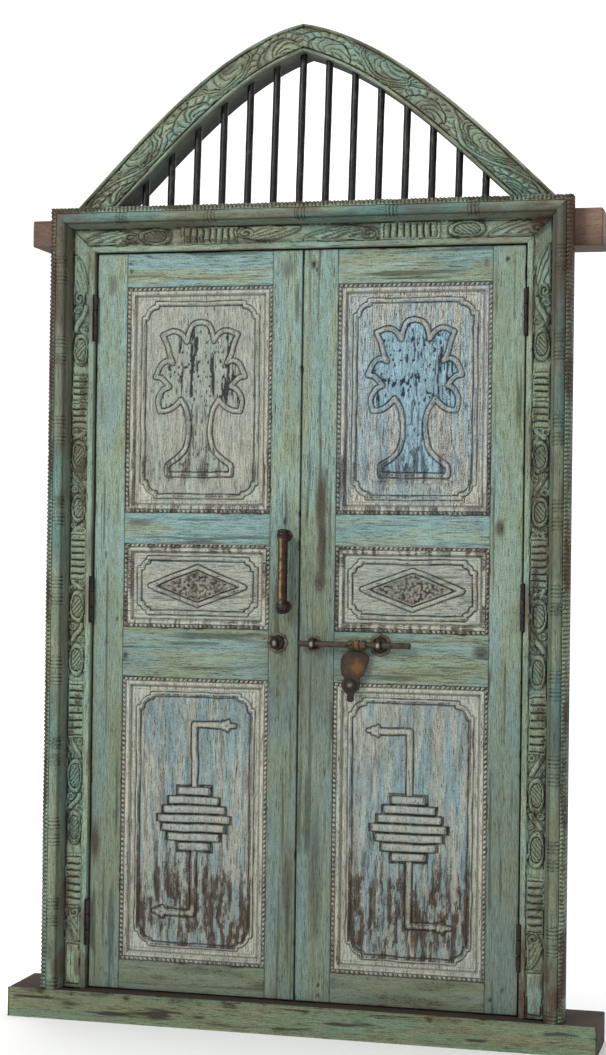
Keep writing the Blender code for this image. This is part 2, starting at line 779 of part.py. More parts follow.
def make_bars():
    """The iron bars between the lintel and the arch, their tops cut to the slope of the arch."""
    foot = LINTEL_TOP + TOUCH_GAP
    for index in range(BAR_COUNT):
        shape = bmesh.new()
        centre = BAR_FIRST_X + BAR_PITCH * index
        rings = ([], [])
        for side in range(BAR_SIDES):
            turn = 2 * math.pi * (side + 0.5) / BAR_SIDES
            x = centre + BAR_RADIUS * math.cos(turn)
            y = BAR_DEPTH_Y + BAR_RADIUS * math.sin(turn)
            top = foot
            for _ in range(12):
                top = soffit_height(x + BAR_LEAN * (top - foot)) - 2 * TOUCH_GAP
            rings[0].append(shape.verts.new((x, y, foot)))
            rings[1].append(shape.verts.new((x + BAR_LEAN * (top - foot), y, top)))
        for side in range(BAR_SIDES):
            after = (side + 1) % BAR_SIDES
            shape.faces.new((rings[0][side], rings[0][after], rings[1][after], rings[1][side]))
        shape.faces.new(rings[0])
        shape.faces.new(rings[1])
        add_object(f"bar_{index + 1:02d}", shape, DARK_IRON)


def cartouche(low, high, step):
    """A rectangle whose corners are stepped in."""
    points = []
    corners = ((low[0], low[1], 1, 1), (high[0], low[1], -1, 1),
               (high[0], high[1], -1, -1), (low[0], high[1], 1, -1))
    for index, (x, z, to_x, to_z) in enumerate(corners):
        bent = [(x, z + to_z * step), (x + to_x * step * 0.55, z + to_z * step * 0.9),
                (x + to_x * step * 0.9, z + to_z * step * 0.55), (x + to_x * step, z)]
        points += bent if index % 2 == 0 else bent[::-1]
    return points


def add_groove(relief, outline):
    """A groove along a closed outline: its two arrises and its bottom."""
    middle = sum((Vector(point) for point in outline), Vector((0.0, 0.0))) / len(outline)
    for shift, rise in ((GROOVE_WIDTH / 2, 0.0), (0.0, -GROOVE_DEPTH), (-GROOVE_WIDTH / 2, 0.0)):
        moved = []
        for point in outline:
            away = Vector(point) - middle
            reach = Vector((math.copysign(shift, away.x), math.copysign(shift, away.y)))
            moved.append(Vector(point) + reach)
        relief.loop(moved, rise)


def tree_outline(centre, half_width, height):
    """A tree with five rounded lobes over a waisted trunk and a spread foot, as shares of its size."""
    half = (
        (0.00, 0.50), (0.17, 0.46), (0.27, 0.39), (0.47, 0.435), (0.66, 0.40), (0.67, 0.30), (0.60, 0.24),
        (0.86, 0.215), (1.00, 0.147), (0.88, 0.07), (0.66, 0.045), (0.86, 0.00), (0.92, -0.07), (0.70, -0.11),
        (0.41, -0.03), (0.27, -0.12), (0.21, -0.267), (0.32, -0.38), (0.70, -0.46), (0.70, -0.50),
    )
    right = [(centre[0] + half_width * x, centre[1] + height * z) for x, z in half]
    left = [(centre[0] - half_width * x, centre[1] + height * z) for x, z in half[1:]]
    return right + left[::-1]


def inset(outline, distance):
    """A clockwise outline drawn in by a distance, its sharp corners kept from running away."""
    moved = []
    for index, point in enumerate(outline):
        here = Vector(point)
        arriving = (here - Vector(outline[index - 1])).normalized()
        leaving = (Vector(outline[(index + 1) % len(outline)]) - here).normalized()
        inward = Vector((arriving.y + leaving.y, -arriving.x - leaving.x))
        reach = distance / max(0.5, (1 + arriving.dot(leaving)) / 2) ** 0.5
        moved.append(here + inward.normalized() * reach)
    return moved


def add_ridge(relief, outline):
    """A raised rim along an outline, round a slightly lower field."""
    for distance, rise in ((0.0, 0.0), (0.0018, 1.0), (0.0046, 1.0), (0.0062, 0.4)):
        relief.loop(inset(outline, distance), rise * CARVING_RISE)


def add_tree(relief, low, high, _side):
    """The tree of the top panel, raised, with a base line under it."""
    centre = ((low[0] + high[0]) / 2, (low[1] + high[1]) / 2 + 0.004)
    add_ridge(relief, tree_outline(centre, TREE_WIDTH / 2, TREE_HEIGHT))
    foot = centre[1] - TREE_HEIGHT / 2 - 0.010
    half = TREE_WIDTH * 0.38
    relief.loop(rectangle((centre[0] - half, foot - 0.006), (centre[0] + half, foot + 0.003)), 0.0)
    ends = [(centre[0] - half + 0.003, foot - 0.0015), (centre[0] + half - 0.003, foot - 0.0015)]
    relief.line(ends, CARVING_RISE)


def add_diamond(relief, low, high, _side):
    """The diamond of the middle panel: a raised rim round a field of small pyramids."""
    centre = ((low[0] + high[0]) / 2, (low[1] + high[1]) / 2)
    half_x = DIAMOND_WIDTH / 2
    half_z = DIAMOND_HEIGHT / 2
    for share, rise in ((1.0, 0.0), (0.93, 1.0), (0.78, 1.0), (0.70, 0.2)):
        corners = [(centre[0] + half_x * share, centre[1]), (centre[0], centre[1] + half_z * share),
                   (centre[0] - half_x * share, centre[1]), (centre[0], centre[1] - half_z * share)]
        relief.loop(corners, rise * CARVING_RISE)
    for column in range(-3, 4):
        for row in range(-1, 2):
            x = centre[0] + column * 0.020
            z = centre[1] + row * 0.014
            if abs(x - centre[0]) / half_x + abs(z - centre[1]) / half_z < 0.55:
                relief.loop(ellipse((x, z), 0.006, 0.0045, 4), 0.2 * CARVING_RISE)
                relief.line([(x - 0.001, z), (x + 0.001, z)], CARVING_RISE)


def medallion_outline(centre, half_width, height):
    """A stack of flat tiers, widest in the middle."""
    shares = (0.46, 0.72, 0.88, 1.0, 0.88, 0.72, 0.46)
    tier = height / len(shares)
    right = []
    for index, share in enumerate(shares):
        top = centre[1] + height / 2 - tier * index
        right += [(centre[0] + half_width * share, top), (centre[0] + half_width * share, top - tier)]
    left = [(2 * centre[0] - x, z) for x, z in right[::-1]]
    return right + left


def add_rod(relief, low, high, side):
    """The rod of the bottom panel: a stepped medallion on a rod with an arm at each end."""
    centre = ((low[0] + high[0]) / 2, (low[1] + high[1]) / 2 + 0.004)
    half_rod = ROD_WIDTH / 2
    add_ridge(relief, medallion_outline(centre, MEDALLION_WIDTH / 2, MEDALLION_HEIGHT))
    near_rod = MEDALLION_HEIGHT / 2 + 0.004
    arm = ROD_ARM
    for direction, near, far in ((-side, centre[1] + near_rod, centre[1] + ROD_REACH),
                                 (side, centre[1] - near_rod, centre[1] - ROD_REACH)):
        up = 1 if far > near else -1
        x = centre[0]
        outline = [(x - direction * half_rod, near), (x + direction * half_rod, near),
                   (x + direction * half_rod, far - up * half_rod),
                   (x + direction * (arm - 0.022), far - up * half_rod),
                   (x + direction * (arm - 0.014), far - up * 0.017),
                   (x + direction * arm, far - up * 0.004),
                   (x + direction * (arm - 0.014), far + up * 0.017),
                   (x + direction * (arm - 0.022), far + up * half_rod),
                   (x - direction * half_rod, far + up * half_rod)]
        relief.loop(outline, 0.0)
        crest = [(x, near + up * 0.006), (x, far), (x + direction * (arm - 0.018), far)]
        relief.line(crest, CARVING_RISE)


def make_panel(name, low, high, motif, side, parent):
    """A carved panel with its moulding round it; low and high are corners in X and Z."""
    relief = Relief()
    relief.loop(rectangle(low, high), MOULDING_RISE)
    steps = ((MOULDING_WIDTH, MOULDING_RISE), (MOULDING_WIDTH + 0.001, FILLET_RISE),
             (MOULDING_WIDTH + FILLET_WIDTH, FILLET_RISE), (MOULDING_WIDTH + FILLET_WIDTH + 0.003, 0.0))
    for inset, rise in steps:
        relief.loop(rectangle((low[0] + inset, low[1] + inset), (high[0] - inset, high[1] - inset)), rise)
    margin, step = TALL_CARTOUCHE if high[1] - low[1] > TALL_PANEL else LOW_CARTOUCHE
    inner_low = (low[0] + margin, low[1] + margin)
    inner_high = (high[0] - margin, high[1] - margin)
    add_groove(relief, cartouche(inner_low, inner_high, step))
    motif(relief, low, high, side)

    def place(point, rise):
        return Vector((point[0], PANEL_FACE - rise, point[1]))

    def back(corner):
        return Vector((corner.x, PANEL_BACK, corner.z))

    add_object(name, closed_carving(relief, place, back), CREAM_WOOD, parent)


def make_leaf(label, side, parent):
    """One leaf: two stiles, four rails and three carved panels."""
    if side < 0:
        outer, inner = -LEAF_EDGE, MEETING_X - MEETING_GAP / 2
        meeting = LEFT_MEETING_STILE
    else:
        outer, inner = LEAF_EDGE, MEETING_X + MEETING_GAP / 2
        meeting = RIGHT_MEETING_STILE
    hinge_end = outer - side * HINGE_STILE_WIDTH
    meeting_end = inner + side * meeting
    thick = LEAF_THICKNESS
    for name, edges in (("hinge_stile", (outer, hinge_end)), ("meeting_stile", (inner, meeting_end))):
        board(f"{label}_{name}", (min(edges), 0.0, LEAF_BOTTOM), (max(edges), thick, LEAF_TOP),
              SEA_GREEN_WOOD, parent)
    low_x = min(hinge_end, meeting_end) + TOUCH_GAP
    high_x = max(hinge_end, meeting_end) - TOUCH_GAP
    top = LEAF_TOP
    rows = (("top_rail", TOP_RAIL, None), ("tree_panel", TREE_PANEL, add_tree),
            ("frieze_rail", FRIEZE_RAIL, None),
            ("diamond_panel", DIAMOND_PANEL, add_diamond), ("lock_rail", LOCK_RAIL, None),
            ("rod_panel", ROD_PANEL, add_rod), ("bottom_rail", BOTTOM_RAIL, None))
    for name, height, motif in rows:
        foot = top - height
        low = foot if name == "bottom_rail" else foot + TOUCH_GAP
        if motif:
            make_panel(f"{label}_{name}", (low_x, low), (high_x, top), motif, side, parent)
        else:
            board(f"{label}_{name}", (low_x, 0.0, low), (high_x, thick, top), SEA_GREEN_WOOD, parent)
        top = foot


def make_hinges(label, side, parent):
    """Three butt hinges: outer knuckles with the pin on the leaf, the middle knuckle on the jamb."""
    axis_x = side * HINGE_AXIS_X
    third = HINGE_HEIGHT / 3
    half_gap = LEAF_GAP / 2
    for index, height in enumerate(HINGE_HEIGHTS):
        origin = (axis_x, HINGE_AXIS_Y, height)
        half = HINGE_HEIGHT / 2
        pin_ends = ((-half + 0.004, HINGE_PIN_RADIUS), (half - 0.004, HINGE_PIN_RADIUS))
        pin = turned_shape(pin_ends, (0, 0, 1), origin, 8)
        leaf_face = axis_x - side * (half_gap - TOUCH_GAP)
        leaf_edges = sorted((leaf_face, leaf_face + side * HINGE_PLATE))
        jamb_face = axis_x + side * (half_gap - TOUCH_GAP)
        jamb_edges = sorted((jamb_face, jamb_face - side * HINGE_PLATE))
        plate_foot, plate_head = height - half + 0.001, height + half - 0.001
        leaf_part = add_object(f"{label}_hinge_{index + 1}_leaf", pin, RUSTY_IRON, parent)
        name = f"{label}_hinge_{index + 1}"
        for end in (-1, 1):
            near = end * (third / 2 + RUN_GAP / 2)
            far = end * half
            profile = ((min(near, far), KNUCKLE_RADIUS), (max(near, far), KNUCKLE_RADIUS))
            knuckle = turned_shape(profile, (0, 0, 1), origin, 10)
            combine(leaf_part, add_object(f"{name}_knuckle{end}", knuckle, RUSTY_IRON, parent), "UNION")
            low_z, high_z = sorted((height + near + end * 0.002, height + far - end * 0.002))
            tab = box_shape((leaf_edges[0], HINGE_AXIS_Y, low_z), (leaf_edges[1], 0.004, high_z))
            combine(leaf_part, add_object(f"{name}_tab{end}", tab, RUSTY_IRON, parent), "UNION")
        plate = box_shape((leaf_edges[0], 0.002, plate_foot), (leaf_edges[1], HINGE_PLATE_DEPTH, plate_head))
        combine(leaf_part, add_object(f"{name}_leaf_plate", plate, RUSTY_IRON, parent), "UNION")
        reach = third / 2 - RUN_GAP / 2
        bore = HINGE_PIN_RADIUS + RUN_GAP / 2
        middle = tube_shape(-reach, reach, KNUCKLE_RADIUS, bore, (0, 0, 1), origin, 10)
        jamb_part = add_object(f"{name}_jamb", middle, RUSTY_IRON)
        skirt = box_shape((jamb_edges[0], HINGE_AXIS_Y + 0.0035, height - reach + 0.002),
                          (jamb_edges[1], 0.004, height + reach - 0.002))
        combine(jamb_part, add_object(f"{name}_jamb_tab", skirt, RUSTY_IRON), "UNION")
        plate = box_shape((jamb_edges[0], 0.002, plate_foot), (jamb_edges[1], HINGE_PLATE_DEPTH, plate_head))
        combine(jamb_part, add_object(f"{name}_jamb_plate", plate, RUSTY_IRON), "UNION")


def make_eye(name, x, rosette_radius, parent):
    """An iron eye for the bolt, on a round plate on the leaf's face."""
    reach = EYE_WIDTH / 2
    ring = tube_shape(-reach, reach, EYE_RADIUS, BOLT_EYE_BORE, (1, 0, 0), (x, BOLT_Y, BOLT_Z), 12)
    eye = add_object(name, ring, RUSTY_IRON, parent)
    back = -TOUCH_GAP
    rosette = ((back - ROSETTE_THICKNESS, rosette_radius * 0.86), (back, rosette_radius))
    stalk = turned_shape(rosette, (0, 1, 0), (x, 0.0, BOLT_Z), 14)
    combine(eye, add_object(f"{name}_plate", stalk, RUSTY_IRON, parent), "UNION")
    neck_back = back - ROSETTE_THICKNESS / 2
    neck = box_shape((x - reach * 0.8, BOLT_Y + BOLT_EYE_BORE + 0.002, BOLT_Z - 0.009),
                     (x + reach * 0.8, neck_back, BOLT_Z + 0.009))
    combine(eye, add_object(f"{name}_neck", neck, RUSTY_IRON, parent), "UNION")


def make_bolt(parent):
    """The round bolt, drawn to the right, with the collar that carries the hasp between two raised rings."""
    loop_start = COLLAR_OFFSET
    loop_end = loop_start + COLLAR_WIDTH
    journal = BOLT_RADIUS + 0.0005
    middle = (loop_start + loop_end) / 2
    half_loop = HASP_LOOP_WIDTH / 2 + RUN_GAP
    profile = (
        (0.0, BOLT_RADIUS * 0.6), (0.004, BOLT_RADIUS),
        (loop_start - 0.001, BOLT_RADIUS), (loop_start, COLLAR_RADIUS),
        (middle - half_loop, COLLAR_RADIUS), (middle - half_loop + 0.0005, journal),
        (middle + half_loop - 0.0005, journal), (middle + half_loop, COLLAR_RADIUS),
        (loop_end, COLLAR_RADIUS), (loop_end + 0.001, BOLT_RADIUS),
        (BOLT_LENGTH - 0.003, BOLT_RADIUS), (BOLT_LENGTH, BOLT_RADIUS * 0.7),
    )
    rod = turned_shape(profile, (1, 0, 0), (BOLT_DRAWN_END, BOLT_Y, BOLT_Z), 12)
    add_object("bolt_rod", rod, RUSTY_IRON, parent)


def hasp_outline(middle):
    """The hasp's plate: shoulders, neck, round boss and tail, widths and drops as shares of its length."""
    half = (
        (0.090, 0.100), (0.150, 0.130), (0.230, 0.180), (0.250, 0.300), (0.200, 0.520), (0.130, 0.590),
        (0.155, 0.640), (0.170, 0.700), (0.150, 0.770), (0.090, 0.820), (0.060, 0.870), (0.065, 0.960),
        (0.035, 1.0),
    )
    right = [(hasp_middle(middle, z) + HASP_LENGTH * x, BOLT_Z - HASP_LENGTH * z) for x, z in half]
    left = [(hasp_middle(middle, z) - HASP_LENGTH * x, BOLT_Z - HASP_LENGTH * z) for x, z in half[::-1]]
    return right + left


def hasp_middle(middle, drop):
    """The middle of the hasp's plate, which leans off the bolt's collar on its way down."""
    return middle - HASP_LEAN * min(1.0, drop / HASP_BOSS_DROP)


def make_hasp(parent):
    """The hasp that hangs from the bolt: a loop round the bolt's journal and a shaped plate below it."""
    middle = BOLT_DRAWN_END + COLLAR_OFFSET + COLLAR_WIDTH / 2
    half = HASP_LOOP_WIDTH / 2
    bore = BOLT_RADIUS + 0.0005 + RUN_GAP
    loop = tube_shape(-half, half, COLLAR_RADIUS + 0.001, bore, (1, 0, 0), (middle, BOLT_Y, BOLT_Z), 12)
    hasp = add_object("hasp", loop, RUSTY_IRON, parent)
    front = BOLT_Y + 0.004
    plate = extruded_shape(hasp_outline(middle), lambda p: Vector((p[0], front, p[1])),
                           lambda p: Vector((p[0], front + HASP_THICKNESS, p[1])))
    combine(hasp, add_object("hasp_plate", plate, RUSTY_IRON, parent), "UNION")
    strap = box_shape((middle - half * 0.9, front + 0.0006, BOLT_Z - HASP_LENGTH * 0.16),
                      (middle + half * 0.9, front + HASP_THICKNESS - 0.0006, BOLT_Z - bore - 0.0012))
    combine(hasp, add_object("hasp_strap", strap, RUSTY_IRON, parent), "UNION")
    boss_place = (hasp_middle(middle, HASP_BOSS_DROP), front + 0.001, BOLT_Z - HASP_LENGTH * HASP_BOSS_DROP)
    boss = turned_shape(((0.0, 0.0145), (-0.004, 0.013), (-0.0065, 0.008)), (0, 1, 0), boss_place, 12)
    combine(hasp, add_object("hasp_boss", boss, RUSTY_IRON, parent), "UNION")


def make_handle(parent):
    """The iron pull on the left leaf: two round feet, two posts and a grip with swelled ends."""
    grip_y = -HANDLE_REACH
    top = HANDLE_LENGTH
    end = ((0.0, HANDLE_SWELL_RADIUS * 0.4), (0.004, HANDLE_SWELL_RADIUS * 0.9),
           (HANDLE_SWELL_PLACE, HANDLE_SWELL_RADIUS), (0.026, HANDLE_GRIP_RADIUS * 1.1),
           (0.032, HANDLE_GRIP_RADIUS * 0.85), (0.060, HANDLE_GRIP_RADIUS),
           (top / 2 - 0.006, HANDLE_GRIP_RADIUS * 1.05))
    profile = (*end, (top / 2, HANDLE_RING_RADIUS), *[(top - place, radius) for place, radius in end[::-1]])
    handle = add_object("pull_handle", turned_shape(profile, (0, 0, 1), (HANDLE_X, grip_y, HANDLE_FOOT), 10),
                        RUSTY_IRON, parent)
    heights = (HANDLE_FOOT + HANDLE_SWELL_PLACE, HANDLE_FOOT + top - HANDLE_SWELL_PLACE)
    for index, height in enumerate(heights):
        post = turned_shape(((grip_y, 0.0055), (-0.002, 0.0055)), (0, 1, 0), (HANDLE_X, 0.0, height), 8)
        combine(handle, add_object(f"handle_post_{index + 1}", post, RUSTY_IRON, parent), "UNION")
        disc = ((-0.0035, HANDLE_PLATE_RADIUS * 0.8), (-TOUCH_GAP, HANDLE_PLATE_RADIUS))
        foot = turned_shape(disc, (0, 1, 0), (HANDLE_X, 0.0, height), 12)
        combine(handle, add_object(f"handle_foot_{index + 1}", foot, RUSTY_IRON, parent), "UNION")


def main():
    """Build the whole door."""
    clear_scene()
    make_threshold()
    make_timbers()
    make_casings()
    make_arch()
    make_bars()
    left = pivot("left_leaf_axis", (-HINGE_AXIS_X, HINGE_AXIS_Y, LEAF_BOTTOM))
    right = pivot("right_leaf_axis", (HINGE_AXIS_X, HINGE_AXIS_Y, LEAF_BOTTOM))
    make_leaf("left", -1, left)
    make_leaf("right", 1, right)
    make_hinges("left", -1, left)
    make_hinges("right", 1, right)
    make_eye("left_eye", LEFT_EYE_X, LEFT_ROSETTE_RADIUS, left)
    make_handle(left)
    make_eye("middle_eye", MIDDLE_EYE_X, MIDDLE_ROSETTE_RADIUS, right)
    make_eye("right_eye", RIGHT_EYE_X, RIGHT_ROSETTE_RADIUS, right)
    bolt = pivot("bolt_axis", (BOLT_DRAWN_END, BOLT_Y, BOLT_Z), right)
    make_bolt(bolt)
    make_hasp(bolt)


if __name__ == "__main__":
    main()
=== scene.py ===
"""The looks of an old Indian door: carved wood under worn paint, iron gone brown, in a plain pale studio.

Every new surface is a loft: a stack of closed rings of points, worked out as whole arrays from a few sizes.
Each point also carries its place along the grain and masks for dirt and painted shade in the hollows, wear
and a painted highlight on the crests, blue paint, bare wood, and rust stains that on some pieces also paint
shade, which the finishes read. X runs to the right along the door, -Y is the front and +Z is up, in metres.
"""

from __future__ import annotations

import json
import logging
import math
from dataclasses import dataclass, field, replace
from enum import Enum
from typing import Any, Sequence

import bpy
import numpy as np
from mathutils import Matrix, Vector

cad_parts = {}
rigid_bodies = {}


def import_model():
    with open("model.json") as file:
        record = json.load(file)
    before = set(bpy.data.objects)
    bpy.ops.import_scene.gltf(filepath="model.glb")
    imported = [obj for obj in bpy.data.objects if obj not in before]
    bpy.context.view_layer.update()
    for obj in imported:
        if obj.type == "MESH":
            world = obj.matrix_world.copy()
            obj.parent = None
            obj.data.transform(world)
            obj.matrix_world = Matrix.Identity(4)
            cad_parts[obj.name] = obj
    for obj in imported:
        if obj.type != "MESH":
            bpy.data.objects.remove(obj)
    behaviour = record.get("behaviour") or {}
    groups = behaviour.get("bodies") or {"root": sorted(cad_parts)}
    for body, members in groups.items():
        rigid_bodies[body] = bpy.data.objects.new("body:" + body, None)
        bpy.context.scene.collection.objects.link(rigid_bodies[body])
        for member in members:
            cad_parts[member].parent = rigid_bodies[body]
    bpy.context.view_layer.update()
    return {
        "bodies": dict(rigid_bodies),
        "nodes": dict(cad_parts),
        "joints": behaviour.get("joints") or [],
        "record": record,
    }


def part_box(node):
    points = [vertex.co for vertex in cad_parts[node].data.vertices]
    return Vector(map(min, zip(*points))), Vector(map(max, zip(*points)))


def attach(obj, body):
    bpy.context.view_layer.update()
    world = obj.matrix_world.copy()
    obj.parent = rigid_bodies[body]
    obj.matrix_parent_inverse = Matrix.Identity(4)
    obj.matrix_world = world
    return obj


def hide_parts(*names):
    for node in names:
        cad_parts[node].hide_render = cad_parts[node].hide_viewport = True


LOG = logging.getLogger("door")
MASKS = ("hollow", "crest", "blue", "bare", "stain")
Array = np.ndarray
Colour = tuple[float, float, float, float]
Masks = dict[str, np.ndarray]
Profile = Sequence[tuple[float, float]]

# Gaps and places that the looks share with the frame
TOUCH_GAP = 0.0003
OPENING_HALF = 0.5315
OPENING_TOP = 1.869
LINTEL_TOP = 1.953
TIMBER_BACK = 0.125
HINGE_AXIS = (0.529, -0.0068)
HINGE_HEIGHTS = (0.232, 1.020, 1.708)
HINGE_HEIGHT = 0.110
RUN_GAP = 0.0012
BOLT_AXIS = (-0.021, 0.925)


def eased(low: float, high: float, value: Array) -> Array:
    """A soft step: 0 below low, 1 above high, and 3t^2 - 2t^3 between them.

    Args:
        low: Where the step starts.
        high: Where it ends; it may be below low, which turns the step round.
        value: The values to step.

    Returns:
        The step, as large as value.
    """
    share = np.clip((np.asarray(value, float) - low) / (high - low), 0.0, 1.0)
    return share * share * (3.0 - 2.0 * share)


def bump(value: Array) -> Array:
    """A rounded hump, 1 - t^2 where |t| < 1 and 0 elsewhere."""
    return np.clip(1.0 - np.asarray(value, float) ** 2, 0.0, 1.0)


def blurred(values: Array, reach: int) -> Array:
    """The running mean of a grid over a square of 2 * reach + 1 points, from running sums along each axis.

    Args:
        values: The grid.
        reach: How many points to each side are averaged.

    Returns:
        The averaged grid.
    """
    width = 2 * reach + 1
    for axis in (0, 1):
        padding = [(reach + 1, reach) if axis == side else (0, 0) for side in (0, 1)]
        total = np.cumsum(np.pad(values, padding, mode="edge"), axis=axis)
        count = total.shape[axis]
        upper = np.take(total, np.arange(width, count), axis)
        values = (upper - np.take(total, np.arange(count - width), axis)) / width
    return values


class Weather:
    """Smooth noise from 0 to 1, blended between the numbers of a seeded lattice."""

    SIZE = 97

    def __init__(self, seed: int) -> None:
        """Fill the lattice from a seed."""
        self.lattice = np.random.default_rng(seed).random((self.SIZE, self.SIZE))

    def at(self, x: Array, y: Array) -> Array:
        """The blend of the four lattice numbers round each point, with soft-step weights.

        Args:
            x: Places across the lattice.
            y: Places up the lattice.

        Returns:
            The noise at each point.
        """
        column = np.floor(x).astype(int)
        row = np.floor(y).astype(int)
        right = eased(0.0, 1.0, x - column)
        up = eased(0.0, 1.0, y - row)
        near = self.lattice[row % self.SIZE, column % self.SIZE] * (1 - right)
        near = near + self.lattice[row % self.SIZE, (column + 1) % self.SIZE] * right
        far = self.lattice[(row + 1) % self.SIZE, column % self.SIZE] * (1 - right)
        far = far + self.lattice[(row + 1) % self.SIZE, (column + 1) % self.SIZE] * right
        return near * (1 - up) + far * up

    def layers(self, x: Array, y: Array, count: int = 3) -> Array:
        """A sum of layers, each twice as fine and half as strong as the one before, over their whole weight.

        Args:
            x: Places across the lattice.
            y: Places up the lattice.
            count: How many layers.

        Returns:
            The noise at each point, from 0 to 1.
        """
        total = np.zeros(np.broadcast(x, y).shape)
        weight = 1.0
        for step in range(count):
            total = total + weight * self.at(x * 2**step + 13.7 * step, y * 2**step + 7.1 * step)
            weight /= 2
        return total / (2.0 - 2 * weight)


@dataclass
class Shell:
    """A closed surface: points, faces, places along the grain and masks."""

    points: Array
    quads: Array
    triangles: Array
    lay: Array
    masks: Masks

    def volume(self) -> float:
        """The signed volume, a sixth of the sum of a . (b x c) over its triangles.

        Returns:
            The volume, negative where the faces point inwards.
        """
        first = self.quads[:, [0, 1, 2]]
        second = self.quads[:, [0, 2, 3]]
        corners = self.points[np.concatenate([first, second, self.triangles.reshape(-1, 3)])]
        return float(np.einsum("ij,ij->i", corners[:, 0], np.cross(corners[:, 1], corners[:, 2])).sum() / 6)

    def facing_out(self) -> "Shell":
        """Turn the faces so that they point outwards.

        Returns:
            The same surface.
        """
        if self.volume() < 0:
            self.quads = self.quads[:, ::-1]
            self.triangles = self.triangles[:, ::-1]
        return self


def loft(rings: Array, lay: Array | None = None, masks: Masks | None = None, endless: bool = False) -> Shell:
    """A closed surface through a stack of closed rings, with a fan of triangles over each end.

    Args:
        rings: Points as stations x points round x 3.
        lay: Places along the grain, as large as rings; the points themselves if left out.
        masks: Masks by name, each stations x points round.
        endless: Whether the last ring joins the first, as round an eye, instead of two ends.

    Returns:
        The surface, facing outwards.
    """
    stations, around, _ = rings.shape
    lay = rings if lay is None else lay
    index = np.arange(stations * around).reshape(stations, around)
    beside = np.roll(index, -1, axis=1)
    if endless:
        above, above_beside = np.roll(index, -1, axis=0), np.roll(beside, -1, axis=0)
        quads = np.stack([index, beside, above_beside, above], -1).reshape(-1, 4)
    else:
        quads = np.stack([index[:-1], beside[:-1], beside[1:], index[1:]], -1).reshape(-1, 4)
    points = rings.reshape(-1, 3)
    places = lay.reshape(-1, 3)
    flat = {
        name: np.broadcast_to((masks or {}).get(name, 0.0), (stations, around)).reshape(-1) for name in MASKS
    }
    triangles = np.zeros((0, 3), int)
    if not endless:
        count = stations * around
        points = np.concatenate([points, rings[[0, -1]].mean(axis=1)])
        places = np.concatenate([places, lay[[0, -1]].mean(axis=1)])
        flat = {name: np.concatenate([values, values[[0, -1]]]) for name, values in flat.items()}
        first = np.stack([np.full(around, count), beside[0], index[0]], -1)
        last = np.stack([np.full(around, count + 1), index[-1], beside[-1]], -1)
        triangles = np.concatenate([first, last])
    return Shell(points, quads, triangles, places, flat).facing_out()


def joined(shells: Sequence[Shell]) -> Shell:
    """Several surfaces as one mesh, each still closed.

    Args:
        shells: The surfaces.

    Returns:
        One surface with all their points and faces.
    """
    starts = np.cumsum([0] + [len(shell.points) for shell in shells[:-1]])
    return Shell(
        np.concatenate([shell.points for shell in shells]),
        np.concatenate([shell.quads + start for shell, start in zip(shells, starts)]),
        np.concatenate([shell.triangles + start for shell, start in zip(shells, starts)]),
        np.concatenate([shell.lay for shell in shells]),
        {name: np.concatenate([shell.masks[name] for shell in shells]) for name in MASKS},
    )


def turned(
    profile: Profile, axis: str, origin: Sequence[float], sides: int = 24, petals: int = 0,
    scallop: float = 0.0, masks: Masks | None = None) -> Shell:
    """A turned solid: ring k is at distance p_k along its axis, with radius r_k (1 + scallop cos(petals t)).

    Args:
        profile: Distances along the axis and radii.
        axis: "x", "y" or "z".
        origin: Where distance 0 is.
        sides: Points round each ring.
        petals: How many scallops run round the edge.
        scallop: Their depth, as a share of the radius.
        masks: Masks by name, one value for each profile point.

    Returns:
        The surface.
    """
    along, radius = np.array(profile, float).T
    turn = 2 * np.pi * np.arange(sides) / sides
    edge = 1 + scallop * np.cos(petals * turn)
    across = radius[:, None] * edge * np.cos(turn)
    other = radius[:, None] * edge * np.sin(turn)
    ahead = np.broadcast_to(along[:, None], across.shape)
    order = {"x": (ahead, across, other), "y": (across, ahead, other), "z": (across, other, ahead)}[axis]
    rings = np.stack(order, -1) + np.array(origin, float)
    given = {name: np.asarray(value, float)[:, None] for name, value in (masks or {}).items()}
    return loft(rings, masks=given)


def ring_about_x(section: Profile, origin: Sequence[float], sides: int = 28) -> Shell:
    """A ring about an axis along X: a closed section, carried round a full turn.

    Args:
        section: Places along X and radii.
        origin: The middle of the ring.
        sides: Points round the turn.

    Returns:
        The surface.
    """
    along, radius = np.array(section, float).T
    turn = (2 * np.pi * np.arange(sides) / sides)[:, None]
    rings = np.stack([
        np.broadcast_to(along, (sides, len(along))), radius * np.cos(turn), radius * np.sin(turn)], -1)
    return loft(rings + np.array(origin, float), endless=True)


def slab(low: Sequence[float], high: Sequence[float], round_off: float = 0.0006) -> Shell:
    """A thin box with its long arrises taken off, as rings along Z.

    Args:
        low: Its lowest corner.
        high: Its highest corner.
        round_off: What each arris loses.

    Returns:
        The surface.
    """
    x0, y0, z0 = low
    x1, y1, z1 = high
    cut = round_off
    outline = np.array([
        (x0 + cut, y0), (x1 - cut, y0), (x1, y0 + cut), (x1, y1 - cut), (x1 - cut, y1), (x0 + cut, y1),
        (x0, y1 - cut), (x0, y0 + cut)])
    heights = np.array([z0, z0 + cut, z1 - cut, z1])
    middle = outline.mean(axis=0)
    ends = 1 - 2 * cut / max(x1 - x0, y1 - y0)
    shrink = np.array([ends, 1.0, 1.0, ends])
    flat = middle + (outline - middle) * shrink[:, None, None]
    rings = np.concatenate([flat, np.broadcast_to(heights[:, None, None], (4, len(outline), 1))], -1)
    return loft(rings)


